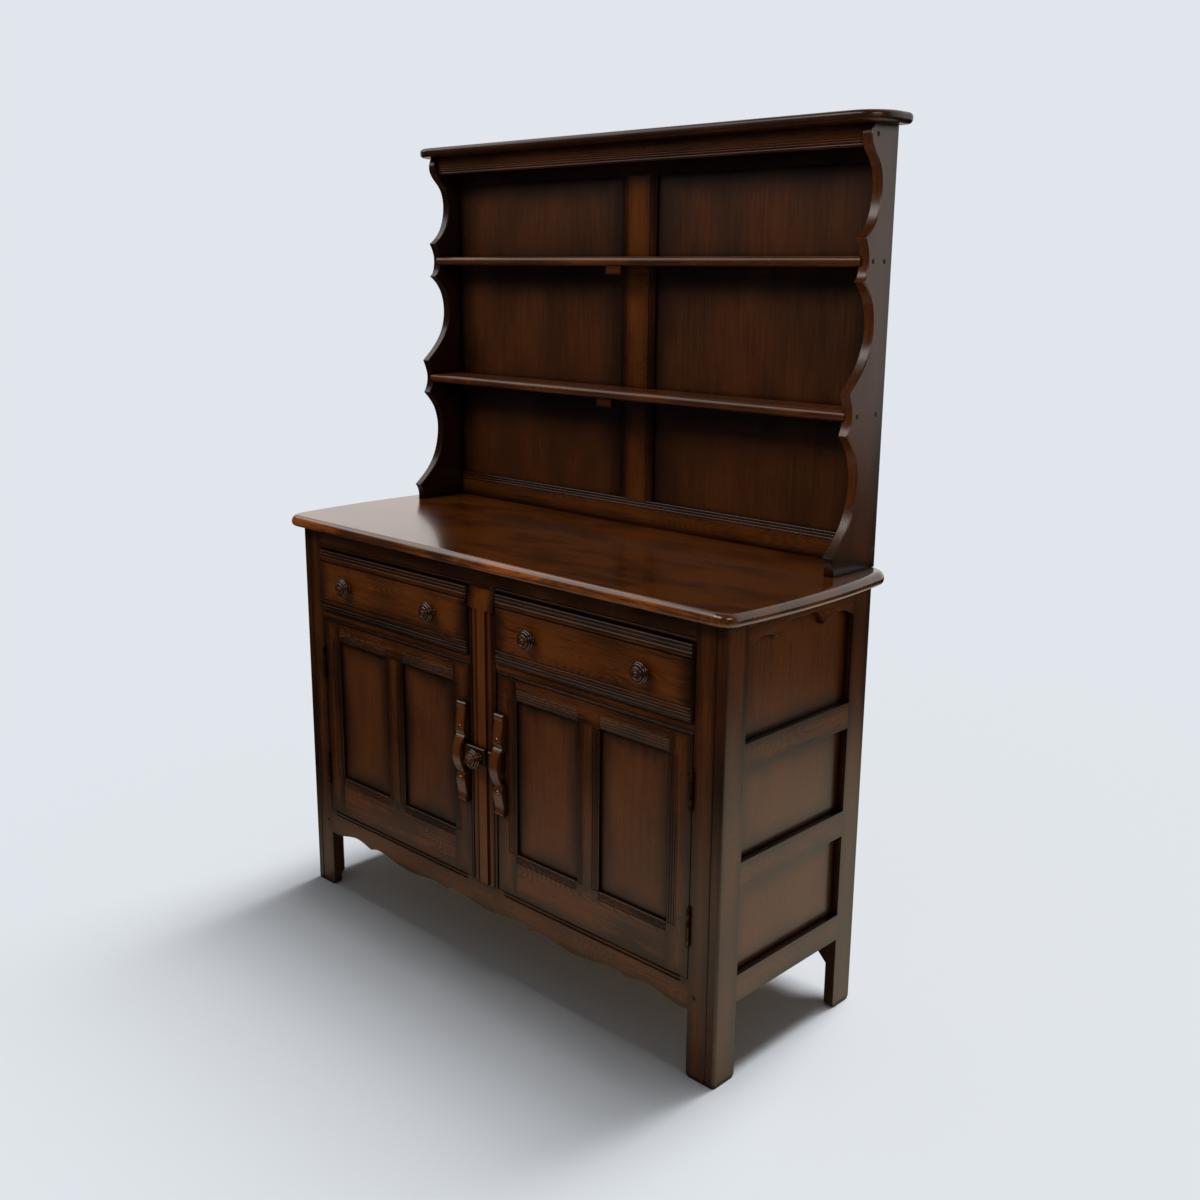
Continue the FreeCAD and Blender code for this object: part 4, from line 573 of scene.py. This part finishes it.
def make_world():
    """The plain backdrop for the camera, weak even light for the dresser, and for its gloss a pale
    wall behind and a dim room in front."""
    world = bpy.data.worlds.new("studio")
    bpy.context.scene.world = world
    world.use_nodes = True
    # Each kind of ray sees a world of its own here, so the world isn't sampled as one lamp
    world.cycles.sampling_method = "NONE"
    tree = world.node_tree
    tree.nodes.clear()
    glossy, direct = ray_kinds(tree)
    direction = add(tree, "ShaderNodeSeparateXYZ", {0: add(tree, "ShaderNodeTexCoord").outputs["Generated"]})
    behind = add(tree, "ShaderNodeMapRange", {"Value": direction.outputs["Y"], "From Min": WALL_BACK[0],
                                              "From Max": WALL_BACK[1]}, interpolation_type="SMOOTHSTEP")
    above = add(tree, "ShaderNodeMapRange", {"Value": direction.outputs["Z"], "From Min": WALL_UP[0],
                                             "From Max": WALL_UP[1]}, interpolation_type="SMOOTHSTEP")
    wall = add(tree, "ShaderNodeMath", {0: behind.outputs[0], 1: above.outputs[0]}, operation="MULTIPLY")
    glow = add(tree, "ShaderNodeMapRange", {"Value": wall.outputs[0], "To Min": DIM_ROOM,
                                            "To Max": WALL_GLOW})
    even = add(tree, "ShaderNodeBackground", {"Color": linear("FFFFFF"), "Strength": AMBIENT})
    room = add(tree, "ShaderNodeBackground", {"Color": linear(WALL), "Strength": glow.outputs[0]})
    backdrop = add(tree, "ShaderNodeBackground", {"Color": linear(BACKDROP), "Strength": 1.0})
    light = add(tree, "ShaderNodeMixShader", {0: glossy, 1: even.outputs[0], 2: room.outputs[0]})
    mix = add(tree, "ShaderNodeMixShader", {0: direct, 1: light.outputs[0], 2: backdrop.outputs[0]})
    output = add(tree, "ShaderNodeOutputWorld")
    tree.links.new(mix.outputs[0], output.inputs["Surface"])


def painted_floor():
    """Matt pale paint that takes the dresser's shadow near it and is bare backdrop far off. The gloss
    sees it near the dresser and a dim floor farther out."""
    material = bpy.data.materials.new("painted_floor")
    material.use_nodes = True
    tree = material.node_tree
    tree.nodes.clear()
    glossy, direct = ray_kinds(tree)
    position = add(tree, "ShaderNodeTexCoord").outputs["Object"]
    away = add(tree, "ShaderNodeVectorMath", {0: position, 1: PATCH_CENTRE}, operation="DISTANCE")
    off_patch = add(tree, "ShaderNodeMapRange", {"Value": away.outputs["Value"], "From Min": PATCH_FADE[0],
                                                 "From Max": PATCH_FADE[1]}, interpolation_type="SMOOTHSTEP")
    far = add(tree, "ShaderNodeMapRange", {"Value": away.outputs["Value"], "From Min": SHADOW_FADE[0],
                                           "From Max": SHADOW_FADE[1]}, interpolation_type="SMOOTHSTEP")
    paint = add(tree, "ShaderNodeMix", {0: glossy, 6: linear(BACKDROP), 7: linear(FLOOR_PATCH)},
                data_type="RGBA")
    matt = add(tree, "ShaderNodeBsdfDiffuse", {"Color": paint.outputs[2]})
    backdrop = add(tree, "ShaderNodeEmission", {"Color": linear(BACKDROP), "Strength": 1.0})
    dim = add(tree, "ShaderNodeEmission", {"Color": linear(BACKDROP), "Strength": DIM_ROOM})
    bare = add(tree, "ShaderNodeMath", {0: far.outputs[0], 1: direct}, operation="MULTIPLY")
    dimmed = add(tree, "ShaderNodeMath", {0: off_patch.outputs[0], 1: glossy}, operation="MULTIPLY")
    mix = add(tree, "ShaderNodeMixShader", {0: bare.outputs[0], 1: matt.outputs[0], 2: backdrop.outputs[0]})
    mix = add(tree, "ShaderNodeMixShader", {0: dimmed.outputs[0], 1: mix.outputs[0], 2: dim.outputs[0]})
    output = add(tree, "ShaderNodeOutputMaterial")
    tree.links.new(mix.outputs[0], output.inputs["Surface"])
    return material


def make_floor():
    """The studio's floor, one square of paint."""
    mesh = bpy.data.meshes.new("floor")
    corners = [(sx * FLOOR_HALF, sy * FLOOR_HALF, 0) for sx, sy in ((-1, -1), (1, -1), (1, 1), (-1, 1))]
    mesh.from_pydata(corners, [], [range(len(corners))])
    mesh.materials.append(painted_floor())
    floor = bpy.data.objects.new("floor", mesh)
    bpy.context.scene.collection.objects.link(floor)
    return floor


def make_camera():
    """A camera where the photograph was taken from."""
    data = bpy.data.cameras.new("photograph")
    data.lens = CAMERA_LENS_MM
    data.shift_x, data.shift_y = CAMERA_SHIFT
    camera = bpy.data.objects.new("photograph", data)
    bpy.context.scene.collection.objects.link(camera)
    yaw = math.radians(CAMERA_YAW_DEGREES)
    pitch = math.radians(CAMERA_PITCH_DEGREES)
    roll = math.radians(CAMERA_ROLL_DEGREES)
    forward = Vector((-math.sin(yaw) * math.cos(pitch), math.cos(yaw) * math.cos(pitch), math.sin(pitch)))
    right = Vector((math.cos(yaw), math.sin(yaw), 0))
    up = right.cross(forward)
    turned_right = right * math.cos(roll) + up * math.sin(roll)
    turned_up = up * math.cos(roll) - right * math.sin(roll)
    turn = Matrix((turned_right, turned_up, -forward)).transposed()
    camera.matrix_world = Matrix.Translation(CAMERA_PLACE) @ turn.to_4x4()
    bpy.context.scene.camera = camera


bpy.context.scene.view_settings.view_transform = "Standard"
make_camera()
make_world()
floor = make_floor()
make_windows(floor)
make_overhead_lights(floor)
dress_elm()
dress_inside()
dress_fittings()
